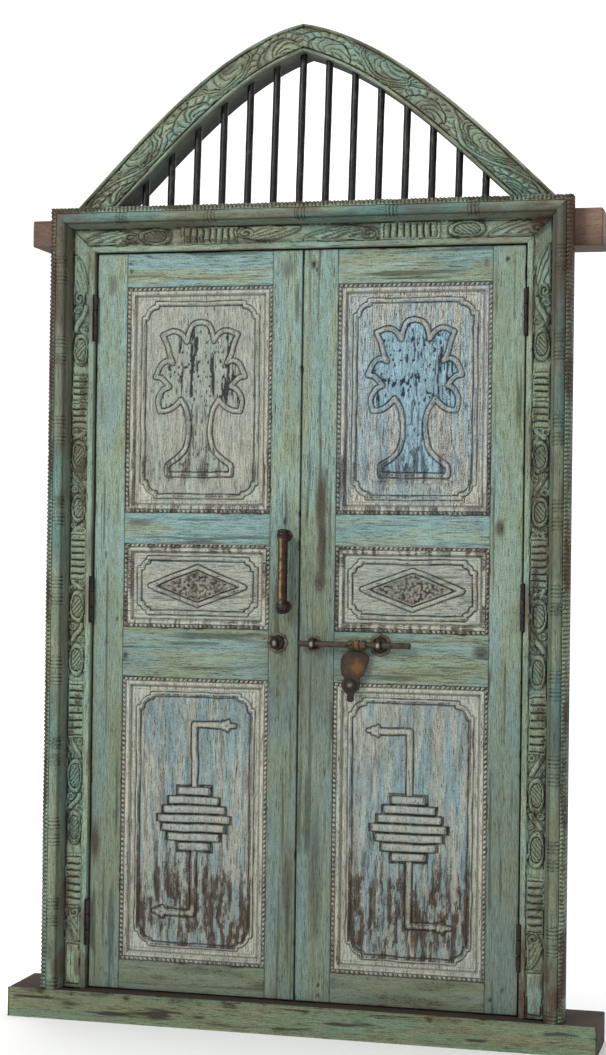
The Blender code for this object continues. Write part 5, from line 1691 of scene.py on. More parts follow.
@dataclass
class ArchHalf:
    """Half of the pointed arch: a face of leaf scrolls between raised rims, and a plain soffit and back."""

    side: int
    seed: int
    apex_x: float = -0.020
    rise: float = 0.4590
    foot_width: float = 0.102
    apex_depth: float = 0.066
    front: float = 0.0146
    relief: float = 0.0036
    stations: int = 330
    across: int = 40
    scrolls: int = 5
    rim: float = 0.10
    fan_reach: float = 0.046

    @property
    def foot_x(self) -> float:
        """Where the outer edge springs from the lintel."""
        return -0.615 if self.side < 0 else 0.623

    def curve(
        self, foot_x: float, rise: float, foot: tuple[float, float], apex: tuple[float, float], share: Array
    ) -> Array:
        """An edge as a cubic curve from the foot to the apex.

        Args:
            foot_x: Where it springs from.
            rise: Its height at the apex.
            foot: The pull at the foot, a share of the run, and the slope there.
            apex: The same at the apex.
            share: Shares of the curve.

        Returns:
            Places in X and Z.
        """
        controls = np.array([
            (0, 0), (foot[0], foot[0] * foot[1]), (1 - apex[0], 1 - apex[0] * apex[1]), (1, 1)])
        weights = np.stack([
            (1 - share) ** 3, 3 * share * (1 - share) ** 2, 3 * share**2 * (1 - share), share**3], -1)
        found = weights @ controls
        return np.stack([
            foot_x + (self.apex_x - foot_x) * found[:, 0], LINTEL_TOP + TOUCH_GAP + rise * found[:, 1]], -1)

    def edges(self, share: Array) -> tuple[Array, Array]:
        """Both edges of the face.

        Args:
            share: Shares of their curves.

        Returns:
            The points of the outer edge and of the inner.
        """
        outer = self.curve(self.foot_x, self.rise, (0.252, 1.31), (0.376, 0.251), share)
        inner = self.curve(
            self.foot_x - self.side * self.foot_width, self.rise - self.apex_depth, (0.332, 1.22),
            (0.375, 0.409), share)
        return outer, inner

    def soffit(self, x: Array) -> Array:
        """The height of the inner edge.

        Args:
            x: Places in X.

        Returns:
            The height over each.
        """
        _, inner = self.edges(np.linspace(0, 1, 200))
        order = np.argsort(inner[:, 0])
        return np.interp(x, inner[order, 0], inner[order, 1])

    def carving(self, along: Array, across: Array, width: Array, length: float) -> Array:
        """Leaf fans in the bays of a waving stem, with small teeth round each fan, between two raised rims.

        The stem is a hump about a sine. A fan's leaves are ramps of the phase 4 angle / pi + 72 radius about
        its root, within a half circle.

        Args:
            along: Distance from the foot.
            across: Share of the face's width, from the inner edge.
            width: That width.
            length: The half's length.

        Returns:
            The relief, about -1 to 1.
        """
        hand = Weather(self.seed + 1)
        along = along + 0.0170 * (hand.layers(along * 34, across * 3) - 0.5)
        sway = hand.layers(along * 30 + 9, across * 3 + 5) - 0.5
        across = across + 0.17 * sway * bump((across - 0.5) / 0.42)
        inner_rim, outer_rim = self.rim, 1 - self.rim
        rims = np.maximum(bump((across - 0.045) / 0.05), bump((across - 0.955) / 0.05))
        quirks = np.maximum(
            bump((across - inner_rim - 0.030) / 0.032), bump((across - outer_rim + 0.030) / 0.032))
        cell = length / self.scrolls
        wave = 0.5 + 0.33 * np.sin(np.pi * along / cell)
        stem = (across - wave) * width
        rise = np.maximum(-0.75, -0.75 + 1.6 * bump(stem / 0.0062) ** 0.7)
        leaflets = np.abs(np.sin(np.pi * (along / 0.026 + 9 * (across - wave)))) ** 0.7
        sprays = -0.75 + 1.25 * leaflets * eased(0.026, 0.012, np.abs(stem))
        rise = np.maximum(rise, np.where(np.abs(stem) > 0.0075, sprays, rise))
        for index in range(self.scrolls):
            inward = index % 2 == 0
            root_across = inner_rim + 0.05 if inward else outer_rim - 0.05
            east = along - cell * (index + 0.5)
            north = (across - root_across) * width * (1 if inward else -1)
            reach = self.fan_reach
            radius = np.hypot(east * 0.66, north)
            turn = np.arctan2(north, east * 0.66)
            phase = turn / np.pi * 4.0 + 72.0 * radius * (1 if self.side < 0 else -1)
            part = phase - np.floor(phase)
            fan = eased(0.0, 0.34, part) * (1.20 - 1.0 * part) * eased(0.004, 0.012, radius) * 1.8 - 0.85
            if inward:
                teeth = np.abs(np.sin(turn * 11)) ** 0.6
            else:
                teeth = np.abs(np.sin(np.pi * (radius / reach - 0.86) / 0.13))
            tooth = -0.75 + 1.5 * teeth
            eye = -0.6 + 1.6 * bump(radius / 0.008)
            shape = np.where(radius < reach * 0.86, -0.55, tooth)
            shape = np.where(radius < reach * 0.80, np.maximum(fan, eye), shape)
            mine = (north > 0) & (radius < reach * 1.12)
            rise = np.where(mine, shape, rise)
        rise = np.where((across < inner_rim) | (across > outer_rim), rims, rise)
        return np.clip(rise - 0.9 * quirks, -1.0, 1.1)

    def build(self, shop: Workshop) -> None:
        """Loft the half from its foot to the apex and fit it.

        Args:
            shop: Where pieces are fitted.
        """
        share = np.linspace(0, 1, self.stations)
        outer, inner = self.edges(share)
        w = np.concatenate([[0.0, 0.0], np.linspace(0.012, 0.988, self.across), [1.0]])
        face = inner[:, None, :] + (outer - inner)[:, None, :] * w[:, None]
        width = np.linalg.norm(outer - inner, axis=1)[:, None]
        middle = (outer + inner) / 2
        travelled = np.concatenate([[0], np.cumsum(np.linalg.norm(np.diff(middle, axis=0), axis=1))])
        along = np.broadcast_to(travelled[:, None], face.shape[:2])
        across = np.broadcast_to(w, face.shape[:2])
        weather = Weather(self.seed)
        grain = weather.layers(across * 14, along * 9) - 0.5
        rise = self.relief * self.carving(along, across, width, travelled[-1]) + 0.0008 * grain
        worn = eased(0.62, 0.8, weather.layers(along * 35, across * 3))
        edge = (across < 0.001) | (across > 0.999)
        rubbed = 0.0010 * worn * ((across < 0.06) | (across > 0.94))
        y = np.where(edge, self.front + 0.0022, self.front - rise + rubbed)
        y[:, 0] += 0.0030
        front = np.stack([face[..., 0], y, face[..., 1]], -1)
        halfway = (self.front + TIMBER_BACK) / 2
        plain = ((outer, halfway), (outer, TIMBER_BACK), (inner, TIMBER_BACK), (inner, halfway))
        behind = [np.insert(line, 1, depth, axis=1)[:, None] for line, depth in plain]
        rings = np.concatenate([front, *behind], axis=1)
        rings[..., 0] += self.side * TOUCH_GAP / 2
        lay = np.stack([
            np.concatenate([across * 0.1, np.tile([0.1, 0.1, 0.0, 0.0], (self.stations, 1))], 1),
            rings[..., 1], np.broadcast_to(travelled[:, None], rings.shape[:2])], -1)
        cloud = weather.layers(across * 3, along * 6)
        masks = carved_masks(rise, 2, 0.0026)
        patchy = 0.42 + 0.75 * weather.layers(across * 6 + 2, along * 60, 2)
        # Dirt and painted shade in the hollows and on the sunk ground.
        masks["hollow"] = patchy * masks["hollow"] + 0.15 * eased(0.0, -0.0030, rise)
        masks["blue"] = 0.30 * eased(0.45, 0.65, cloud)
        masks["bare"] = 0.06 + 0.16 * eased(0.5, 0.7, weather.layers(across * 5, along * 12))
        masks["stain"] = 0.45 * eased(0.48, 0.70, weather.layers(across * 3 + 20, along * 14))
        wide = {name: np.pad(value, ((0, 0), (0, 4))) for name, value in masks.items()}
        wide["bare"][:, -4:] = 0.12
        # Painted shade on the back faces, darkest on the soffit, and along the face's inner edge.
        wide["hollow"][:, -4:] = (0.2, 0.4, 1.0, 0.86)
        wide["hollow"][:, 0] = 0.60
        label = "left" if self.side < 0 else "right"
        shell = loft(rings, seeded(lay, self.seed), wide)
        shop.fit(f"arch_{label}_carving", shell, FRAME_PAINT, [f"arch_{label}"])


@dataclass
class WindowBars:
    """Forged bars between the lintel and the arch, a little uneven, their tops cut to the arch's slope."""

    halves: tuple[ArchHalf, ArchHalf]
    count: int = 14
    radius: float = 0.0094
    depth_y: float = 0.049
    first_x: float = -0.424
    step: float = 0.0650
    lean: float = 0.021
    sides: int = 14
    stations: int = 36
    seed: int = 400

    def build(self, shop: Workshop) -> None:
        """Loft each bar up from the lintel: it leans with its height, and its radius wavers with noise.

        Args:
            shop: Where pieces are fitted.
        """
        foot = LINTEL_TOP + TOUCH_GAP
        turn = 2 * np.pi * np.arange(self.sides) / self.sides
        for index in range(self.count):
            weather = Weather(self.seed + index)
            middle = self.first_x + self.step * index
            x = middle + self.radius * np.cos(turn)
            y = self.depth_y + self.radius * np.sin(turn)
            half = self.halves[0] if middle < self.halves[0].apex_x else self.halves[1]
            top = np.full(self.sides, foot)
            for _ in range(12):
                top = half.soffit(x + self.lean * (top - foot)) - 4 * TOUCH_GAP
            share = np.linspace(0, 1, self.stations)[:, None]
            z = foot + (top - foot) * share
            waver = 1 - 0.10 * weather.layers(share * 9, turn[None] * 1.2 + 3, 2)
            rings = np.stack([
                middle + (x - middle) * waver + self.lean * (z - foot),
                self.depth_y + (y - self.depth_y) * waver, z], -1)
            masks = {"crest": 0.35 * eased(0.55, 0.8, weather.layers(share * 14, turn[None] * 1.2, 2))}
            shop.fit(
                f"window_bar_{index + 1:02d}", loft(rings, masks=masks), BAR_IRON, [f"bar_{index + 1:02d}"])


@dataclass
class Timbers:
    """The threshold, the lintel with its bare horns, and the posts."""

    threshold_half: float = 0.717
    threshold_height: float = 0.070
    threshold_front: float = -0.052
    threshold_wear: float = 0.008
    front: float = 0.0103
    stop_front: float = 0.0405
    stop_width: float = 0.013
    arris: float = 0.0015
    post_width: float = 0.078
    lintel_reach: float = 0.703
    lintel_shoulder: float = 0.6095
    left_horn_rise: float = 0.0195
    right_horn_drop: float = 0.007
    threshold_seed: int = 71
    lintel_seed: int = 83

    def threshold(self, shop: Workshop) -> None:
        """The threshold: its front arris worn by a cosine squared, most in the middle, its top trodden dark.

        Args:
            shop: Where pieces are fitted.
        """
        half, high, front = self.threshold_half, self.threshold_height, self.threshold_front
        even = np.linspace(-half + 0.005, half - 0.005, 260)
        along = np.concatenate([[-half, -half + 0.0012], even, [half - 0.0012, half]])
        worn = self.threshold_wear * (0.25 + 0.75 * np.cos(np.pi * along / (2 * half)) ** 2)[:, None]
        face_points, arc_points, top_points = 22, 5, 23
        climb = np.linspace(0.0, 1.0, face_points)
        turn = np.linspace(0, np.pi / 2, arc_points + 1)[1:]
        back_edge = 0.004
        face_y = np.full((len(along), face_points), front)
        face_z = (high - worn) * climb
        arc_y = front + worn * 1.4 * (1 - np.cos(turn))
        arc_z = high - worn * (1 - np.sin(turn))
        top = np.linspace(0.0, 1.0, top_points + 1)[1:]
        top_y = front + worn * 1.4 + (TIMBER_BACK - back_edge - front - worn * 1.4) * top
        tail = np.broadcast_to(np.array([TIMBER_BACK, TIMBER_BACK]), (len(along), 2))
        tail_z = np.broadcast_to(np.array([high - back_edge, 0.0]), (len(along), 2))
        y = np.concatenate([face_y, arc_y, top_y, tail], 1)
        z = np.concatenate([face_z, arc_z, np.full(top_y.shape, high), tail_z], 1)
        x = np.broadcast_to(along[:, None], y.shape)
        weather = Weather(self.threshold_seed)
        streak = weather.layers((y + z) * 160, x * 7) - 0.5
        gouge = eased(0.66, 0.78, weather.layers((z - y) * 70 + 9, x * 9))
        on_face = np.zeros(y.shape)
        on_face[:, 1:face_points] = 1
        on_top = np.zeros(y.shape)
        top_start = face_points + arc_points
        on_top[:, top_start:top_start + top_points] = 1
        arris = np.zeros(y.shape)
        arris[:, face_points - 3:top_start + 2] = 1
        chips = eased(0.62, 0.8, weather.layers(x * 30, y * 90 + 4))
        end = eased(0.004, 0.0, half - np.abs(x))
        y = y + on_face * (0.0008 * streak + 0.0014 * gouge + 0.0016 * end + 0.0016) * (z > 0.002)
        z = z - on_top * (0.0008 * (streak + 0.5) + 0.0010 * gouge + 0.0012 * end)
        z = z - arris * 0.0022 * chips * (1 - on_top)
        cloud = weather.layers(x * 8, z * 22 + y * 22)
        strip = on_top * eased(0.012, 0.0, y)
        beyond = eased(0.55, 0.63, np.abs(x))
        masks = {
            "hollow": 0.8 * gouge * on_face + strip * (0.75 - 0.4 * beyond) + 0.25 * arris * chips,
            "crest": arris * 0.8,
            "blue": 0.35 * eased(0.5, 0.65, cloud) * on_face,
            "bare": 0.08 + on_top * 0.9 + 0.9 * end + 0.25 * arris * chips + 0.14 * eased(0.5, 0.7, cloud),
            "stain": on_top * (0.60 + beyond * 0.4) + 0.35 * end,
        }
        rings = np.stack([x, y, z], -1)
        lay = np.stack([y, z, x], -1)
        shop.fit("threshold_beam", loft(rings, seeded(lay, 7), masks), SILL_PAINT, ["threshold"])

    def lintel(self, shop: Workshop) -> None:
        """The lintel: a straight beam with a rebate behind the leaves, and a sawn horn at each end.

        Args:
            shop: Where pieces are fitted.
        """
        outer, inner, reach = self.lintel_shoulder, OPENING_HALF, self.lintel_reach
        below, stop, cut = OPENING_TOP - self.stop_width, self.stop_front, self.arris
        left_foot, right_foot = OPENING_TOP + self.left_horn_rise, OPENING_TOP - self.right_horn_drop
        fine = 0.0003
        stops = [
            (-reach, left_foot), (-reach + 0.003, left_foot), (-0.66, left_foot), (-outer - fine, left_foot),
            (-outer, below), (-inner - fine, below), (-inner, None), (0.0, None), (inner, None),
            (inner + fine, below), (outer, below), (outer + fine, right_foot), (0.66, right_foot),
            (reach - 0.003, right_foot), (reach, right_foot)]
        weather = Weather(self.lintel_seed)
        rings = []
        for x, foot in stops:
            low = below if foot is None else foot
            top = LINTEL_TOP - (0.003 if x > 0.3 else 0.0)
            soft = 0.003 if abs(abs(x) - reach) < 1e-6 else 0.0
            near, back = self.front + soft, TIMBER_BACK
            step_y = stop if foot is None else back - 0.02
            step_z = OPENING_TOP if foot is None else low
            outline = [
                (near, top - cut - soft), (near, (top + step_z) / 2), (near, step_z + cut + soft),
                (near + cut, step_z + soft), (step_y, step_z + soft), (step_y, low + soft),
                (back - cut, low + soft), (back, low + cut + soft), (back, top - cut - soft),
                (back - cut, top - soft), (near + cut, top - soft)]
            rings.append([(x, y, z) for y, z in outline])
        rings = np.array(rings)
        lay = rings[..., [1, 2, 0]]
        # Painted shade under the horns, and through the stain mask over the left half, which holds the left
        # horn; the beam is darker where the casings hide it.
        hidden = np.abs(rings[..., 0]) < outer
        under = 0.55 * (rings[..., 2] < OPENING_TOP + 0.021) * ~hidden
        masks = {
            "bare": np.full(rings.shape[:2], 0.25), "hollow": 0.25 * hidden + under,
            "stain": 0.12 * weather.at(rings[..., 0] * 20, rings[..., 2] * 40) + 0.62 * (rings[..., 0] < 0)
        }
        shop.fit("lintel_beam", loft(rings, seeded(lay, 8), masks), BARE_TIMBER, ["lintel"], crease=30)

    def posts(self, shop: Workshop) -> None:
        """The posts: an L-shaped section, with the stop behind the leaf, carried up to the lintel.

        Args:
            shop: Where pieces are fitted.
        """
        inner, outer, stop = OPENING_HALF, OPENING_HALF + self.post_width, OPENING_HALF - self.stop_width
        front, step, cut = self.front, self.stop_front, self.arris
        outline = np.array([
            (inner, front), ((inner + outer) / 2, front), (outer - cut, front), (outer, front + cut),
            (outer, TIMBER_BACK - cut), (outer - cut, TIMBER_BACK), (inner, TIMBER_BACK),
            (stop + cut, TIMBER_BACK), (stop, TIMBER_BACK - cut), (stop, step + cut), (stop + cut, step),
            (inner, step)])
        heights = np.linspace(
            self.threshold_height + TOUCH_GAP, OPENING_TOP - self.stop_width - TOUCH_GAP, 40)
        for side, label in ((-1, "left"), (1, "right")):
            rings = np.empty((len(heights), len(outline), 3))
            rings[..., 0] = side * outline[:, 0]
            rings[..., 1] = outline[:, 1]
            rings[..., 2] = heights[:, None]
            masks = {"bare": np.full(rings.shape[:2], 0.2), "hollow": np.full(rings.shape[:2], 0.1)}
            shell = loft(rings, seeded(rings, 9 + side), masks)
            shop.fit(f"post_{label}_timber", shell, BARE_TIMBER, [f"post_{label}"], crease=30)


@dataclass
class Hinge:
    """A butt hinge: knuckles about an upright pin, and a plate on each side of the gap."""

    label: str
    side: int
    index: int
    radius: float = 0.0055
    pin: float = 0.0020
    plate_thick: float = 0.0011
    plate_depth: float = 0.030
    leaf_gap: float = 0.005
    round_off: float = 0.0003

    def __post_init__(self) -> None:
        """Find the hinge's place from its side and its number, counted from the foot."""
        self.height = HINGE_HEIGHTS[self.index - 1]
        self.origin = (self.side * HINGE_AXIS[0], HINGE_AXIS[1], self.height)

    def knuckle(self, low: float, high: float) -> Shell:
        """A knuckle: a turned barrel whose ends are a fifth smaller.

        Args:
            low: Its foot, from the hinge's middle.
            high: Its top.

        Returns:
            The surface.
        """
        small, full = self.radius * 0.8, self.radius
        profile = (
            (low, small), (low + 0.0008, full), ((low + high) / 2, full * 0.985), (high - 0.0008, full),
            (high, small))
        # Painted shade at the ends, where the knuckles meet.
        return turned(profile, "z", self.origin, 18, masks={"hollow": np.array([0.9, 0.2, 0.0, 0.2, 0.9])})

    def plate(self, toward: int, near: float, far: float, low: float, high: float) -> Shell:
        """A thin plate that stands in the gap.

        Args:
            toward: -1 for the leaf's side of the gap and 1 for the jamb's.
            near: Its front in Y.
            far: Its back.
            low: Its foot, from the hinge's middle.
            high: Its top.

        Returns:
            The surface.
        """
        face = self.origin[0] + toward * self.side * (self.leaf_gap / 2 - TOUCH_GAP)
        left, right = sorted((face, face - toward * self.side * self.plate_thick))
        return slab((left, near, self.height + low), (right, far, self.height + high), self.round_off)

    def tube(self, reach: float) -> Shell:
        """The middle knuckle: a ring about the pin.

        Args:
            reach: Half its height.

        Returns:
            The surface.
        """
        radius, bore = self.radius, self.pin + RUN_GAP / 2
        section = (
            (-reach, bore), (-reach, radius * 0.85), (-reach + 0.0008, radius), (reach - 0.0008, radius),
            (reach, radius * 0.85), (reach, bore))
        made = ring_about_x(section, (0, 0, 0), 18)
        made.points = made.points[:, [2, 1, 0]] * (-1, 1, 1) + np.array(self.origin)
        made.lay = made.points
        return made.facing_out()

    def build(self, shop: Workshop) -> None:
        """Two knuckles, the pin and a plate on the leaf, and one knuckle and a plate on the jamb.

        Args:
            shop: Where pieces are fitted.
        """
        half, third = HINGE_HEIGHT / 2, HINGE_HEIGHT / 3
        gap, reach = (third + RUN_GAP) / 2, (third - RUN_GAP) / 2
        front, margin = HINGE_AXIS[1], 0.002
        plates = {
            side: self.plate(side, 0.002, self.plate_depth, 0.001 - half, half - 0.001) for side in (-1, 1)
        }
        pin = turned(((-half + 0.003, self.pin), (half - 0.003, self.pin)), "z", self.origin, 12)
        leaf = [
            self.knuckle(gap, half), self.knuckle(-half, -gap), pin, plates[-1],
            self.plate(-1, front, 0.004, gap + margin, half - margin),
            self.plate(-1, front, 0.004, margin - half, -gap - margin)]
        name = f"{self.label}_hinge_{self.index}"
        shop.fit(f"{name}_swinging_half", joined(leaf), OLD_IRON, [f"{name}_leaf"])
        jamb = [self.tube(reach), plates[1], self.plate(1, front, 0.004, margin - reach, reach - margin)]
        shop.fit(f"{name}_fixed_half", joined(jamb), OLD_IRON, [f"{name}_jamb"])


@dataclass
class Pull:
    """The pull on the left leaf, its place and its radii."""

    x: float = -0.0405
    reach: float = 0.034
    foot: float = 0.995
    length: float = 0.202
    place: float = 0.016
    grip: float = 0.0104
    swell: float = 0.0150
    ring: float = 0.0126
    plate: float = 0.0145

    def build(self, shop: Workshop) -> None:
        """The pull: a turned grip with swelled, ringed ends and a middle ring, on two posts and round feet.

        Args:
            shop: Where pieces are fitted.
        """
        x, reach, foot, length, place = self.x, self.reach, self.foot, self.length, self.place
        grip, swell, ring, plate = self.grip, self.swell, self.ring, self.plate
        end = (
            (0.0, swell * 0.35), (0.001, swell * 0.6), (0.003, swell * 0.85), (0.006, swell * 0.93),
            (0.0072, swell * 0.84), (0.0085, swell * 0.93), (0.012, swell), (place, swell),
            (0.020, swell * 0.96), (0.0215, swell * 0.86), (0.023, swell * 0.93), (0.026, swell * 0.90),
            (0.029, grip * 1.16), (0.032, grip * 1.10), (0.045, grip * 1.12), (0.060, grip * 1.12),
            (length / 2 - 0.008, grip * 1.12), (length / 2 - 0.005, ring * 0.90), (length / 2 - 0.002, ring))
        profile = [*end, *[(length - p, r) for p, r in end[::-1]]]
        # Dirt and painted shade in the grooves of the turned profile.
        radii = np.array([r for _, r in profile])
        hollow = np.clip((blurred(radii[None], 2)[0] - radii) / 0.0012, 0, 1)
        body = turned(profile, "z", (x, -reach, foot), 28, masks={"hollow": 0.8 * hollow})
        # A painted highlight: a streak down the front of the grip, a little to the left.
        facing = np.arctan2(body.points[:, 1] + reach, body.points[:, 0] - x)
        off_middle = np.abs(body.points[:, 2] - foot - length / 2)
        body.masks["crest"] = 0.9 * bump((facing + 1.85) / 0.32) * eased(0.085, 0.070, off_middle)
        parts = [body]
        post = ((-reach, 0.0055), (-reach / 2, 0.0050), (-0.006, 0.0058), (-0.002, 0.0075))
        rose = ((-TOUCH_GAP, plate), (-0.0015, plate), (-0.0030, plate * 0.86), (-0.0038, plate * 0.6))
        # Dirt and painted shade where each rose meets the leaf.
        dirt = {"hollow": np.array([0.7, 0.3, 0.0, 0.2])}
        for height in (foot + place, foot + length - place):
            parts.append(turned(post, "y", (x, 0, height), 18))
            parts.append(turned(rose, "y", (x, 0, height), 30, 6, 0.05, dirt))
        shop.fit("pull_grip", joined(parts), PULL_IRON, ["pull_handle"])


@dataclass
class Ironwork:
    """Bolt eyes, bolt and hasp, and the calls for the hinges and the pull."""

    eye_width: float = 0.013
    eye_radius: float = 0.0150
    eye_bore: float = 0.0092
    bolt_end: float = -0.005
    bolt_length: float = 0.274
    bolt_radius: float = 0.0072
    collar_start: float = 0.123
    collar_width: float = 0.044
    collar_radius: float = 0.0115
    hasp_length: float = 0.136
    hasp_lean: float = 0.016

    def eye(self, shop: Workshop, node: str, x: float, rosette: float, petals: int) -> None:
        """A bolt eye: a barrel with a bore, on a neck and a domed round plate with scalloped petals.

        Args:
            shop: Where pieces are fitted.
            node: The eye's CAD node.
            x: Its middle in X.
            rosette: The plate's radius.
            petals: How many scallops it has.
        """
        y, z = BOLT_AXIS
        half = self.eye_width / 2
        swell = np.linspace(-1, 1, 9)
        outer = [(half * s, self.eye_radius * (0.80 + 0.20 * math.sqrt(max(0.0, 1 - s * s)))) for s in swell]
        barrel = ring_about_x([(-half, self.eye_bore), *outer, (half, self.eye_bore)], (x, y, z))
        # A painted highlight on the front of the barrel, toward its middle.
        off_middle = np.abs(barrel.points[:, 0] - x)
        facing = eased(-0.013, -0.0155, barrel.points[:, 1] - y)
        barrel.masks["crest"] = facing * eased(half, half * 0.3, off_middle)
        radius = np.array([1.0, 1.0, 0.93, 0.80, 0.66, 0.60, 0.52, 0.36, 0.2])
        stand = np.array([0.0, 0.35, 0.75, 0.95, 0.80, 0.55, 0.80, 1.15, 1.3])
        profile = [(-TOUCH_GAP - 0.0030 * s, rosette * r) for r, s in zip(radius, stand)]
        # Painted shade where the plate meets the leaf and in the dip before its boss, and a painted highlight
        # on its outer swell.
        hollow = np.array([0.6, 0.3, 0.0, 0.0, 0.4, 0.9, 0.4, 0.1, 0.1])
        crest = np.array([0.0, 0.0, 0.25, 0.30, 0.0, 0.0, 0.0, 0.1, 0.1])
        plate = turned(profile, "y", (x, 0.0, z), 48, petals, 0.05, {"hollow": hollow, "crest": crest})
        neck = slab(
            (x - half * 0.8, y + self.eye_bore + 0.002, z - 0.009),
            (x + half * 0.8, -TOUCH_GAP - 0.0015, z + 0.009), 0.002)
        shop.fit(f"{node}_ring", joined([barrel, plate, neck]), OLD_IRON, [node])

    def bolt(self, shop: Workshop) -> None:
        """The bolt: a round rod with a rounded tip, and a collar of two swelled rings with a journal between.

        Args:
            shop: Where pieces are fitted.
        """
        start, end = self.collar_start, self.collar_start + self.collar_width
        rod, collar = self.bolt_radius, self.collar_radius
        middle, gap, journal = (start + end) / 2, 0.006 + RUN_GAP, rod + 0.0005
        length = self.bolt_length
        profile = [
            (0.0, rod * 0.45), (0.0015, rod * 0.8), (0.004, rod), (0.04, rod * 0.97), (0.08, rod),
            (start - 0.001, rod)]
        for low, high in ((start, middle - gap), (middle + gap, end)):
            swell = np.linspace(0, 1, 7)
            profile += [
                (low + (high - low) * s, collar * (0.88 + 0.12 * math.sin(math.pi * s))) for s in swell]
            if high < middle:
                profile += [(high + 0.0004, journal), (middle, journal), (middle + gap - 0.0004, journal)]
        profile += [
            (end + 0.001, rod), ((end + length) / 2, rod * 0.97), (length - 0.004, rod),
            (length - 0.001, rod * 0.9), (length, rod * 0.6)]
        # Lighter metal over the rod and more on the collar's rings, as painted highlight and rub; painted
        # shade on the journal between the rings.
        radii = np.array([radius for _, radius in profile])
        shell = turned(
            profile, "x", (self.bolt_end, *BOLT_AXIS), 24,
            masks={
                "crest": np.where(radii > rod * 1.2, 0.10, 0.07),
                "hollow": np.where(radii == journal, 0.5, 0.0)
            })
        shop.fit("sliding_bolt", shell, OLD_IRON, ["bolt_rod"])

    def hasp(self, shop: Workshop) -> None:
        """The hasp: a plate whose half width follows its drop, leaning left, with a boss, a tail and a loop.

        Args:
            shop: Where pieces are fitted.
        """
        length = self.hasp_length
        y, z = BOLT_AXIS
        middle = self.bolt_end + self.collar_start + self.collar_width / 2
        marks = np.array([
            (0.080, 0.100), (0.150, 0.130), (0.228, 0.180), (0.248, 0.240), (0.250, 0.300), (0.232, 0.400),
            (0.200, 0.520), (0.150, 0.565), (0.135, 0.590), (0.152, 0.630), (0.168, 0.670), (0.170, 0.700),
            (0.152, 0.770), (0.095, 0.820), (0.062, 0.870), (0.060, 0.920), (0.066, 0.955), (0.045, 0.990),
            (0.012, 1.0)])
        drops, sides, half_thick = 70, 28, 0.00225
        drop = np.linspace(0.100, 1.0, drops)
        half = np.interp(drop, marks[:, 1], marks[:, 0]) * length
        lean = middle - self.hasp_lean * np.minimum(1.0, drop / 0.70)
        turn = 2 * np.pi * np.arange(sides) / sides
        thick = half_thick * np.interp(drop, [0.1, 0.9, 1.0], [1.0, 1.0, 0.5])
        round_x = np.sign(np.cos(turn)) * np.abs(np.cos(turn)) ** 0.55
        round_y = np.sign(np.sin(turn)) * np.abs(np.sin(turn)) ** 0.55
        front = y + 0.004 + half_thick
        rings = np.stack([
            lean[:, None] + half[:, None] * round_x, front + thick[:, None] * round_y,
            np.broadcast_to((z - length * drop)[:, None], (drops, sides))], -1)
        # Darker at the top and over the lower part, and painted shade on the plate's left and right edges.
        low_down = eased(0.46, 0.60, drop) + 0.8 * eased(0.30, 0.14, drop)
        rim = 0.55 * np.abs(np.cos(turn)) ** 3
        plate = loft(rings, masks={"hollow": np.clip(0.72 * low_down[:, None] + rim, 0, 0.85)})
        swell = np.linspace(0, 1, 9)
        # The boss: a painted highlight at its tip, and darker over the rest of its dome.
        boss_at = (middle - self.hasp_lean, y + 0.005, z - length * 0.70)
        boss = turned(
            [
                (-0.0072 * math.sin(math.pi / 2 * s), 0.0145 * math.cos(math.pi / 2 * s) + 0.0012)
                for s in swell],
            "y", boss_at, 28, 3, 0.04,
            {"crest": eased(0.80, 1.0, swell), "hollow": 0.9 * eased(0.95, 0.6, swell)})
        bore = self.bolt_radius + 0.0005 + RUN_GAP
        outer = self.collar_radius + 0.001
        wide = 0.006
        loop = ring_about_x(
            [
                (-wide, bore), (-wide, outer - 0.001), (-wide + 0.001, outer), (wide - 0.001, outer),
                (wide, outer - 0.001), (wide, bore)],
            (middle, y, z))
        strap = slab(
            (middle - wide * 0.9, y + 0.0046, z - length * 0.16),
            (middle + wide * 0.9, y + 0.0079, z - bore - 0.0012), 0.0008)
        shop.fit("hanging_hasp", joined([plate, boss, loop, strap]), HASP_IRON, ["hasp"])

    def build(self, shop: Workshop) -> None:
        """Make every iron piece.

        Args:
            shop: Where pieces are fitted.
        """
        for label, side in (("left", -1), ("right", 1)):
            for index in (1, 2, 3):
                Hinge(label, side, index).build(shop)
        self.eye(shop, "left_eye", -0.059, 0.0250, 8)
        self.eye(shop, "middle_eye", 0.031, 0.0180, 6)
        self.eye(shop, "right_eye", 0.192, 0.0270, 8)
        self.bolt(shop)
        self.hasp(shop)
        Pull().build(shop)


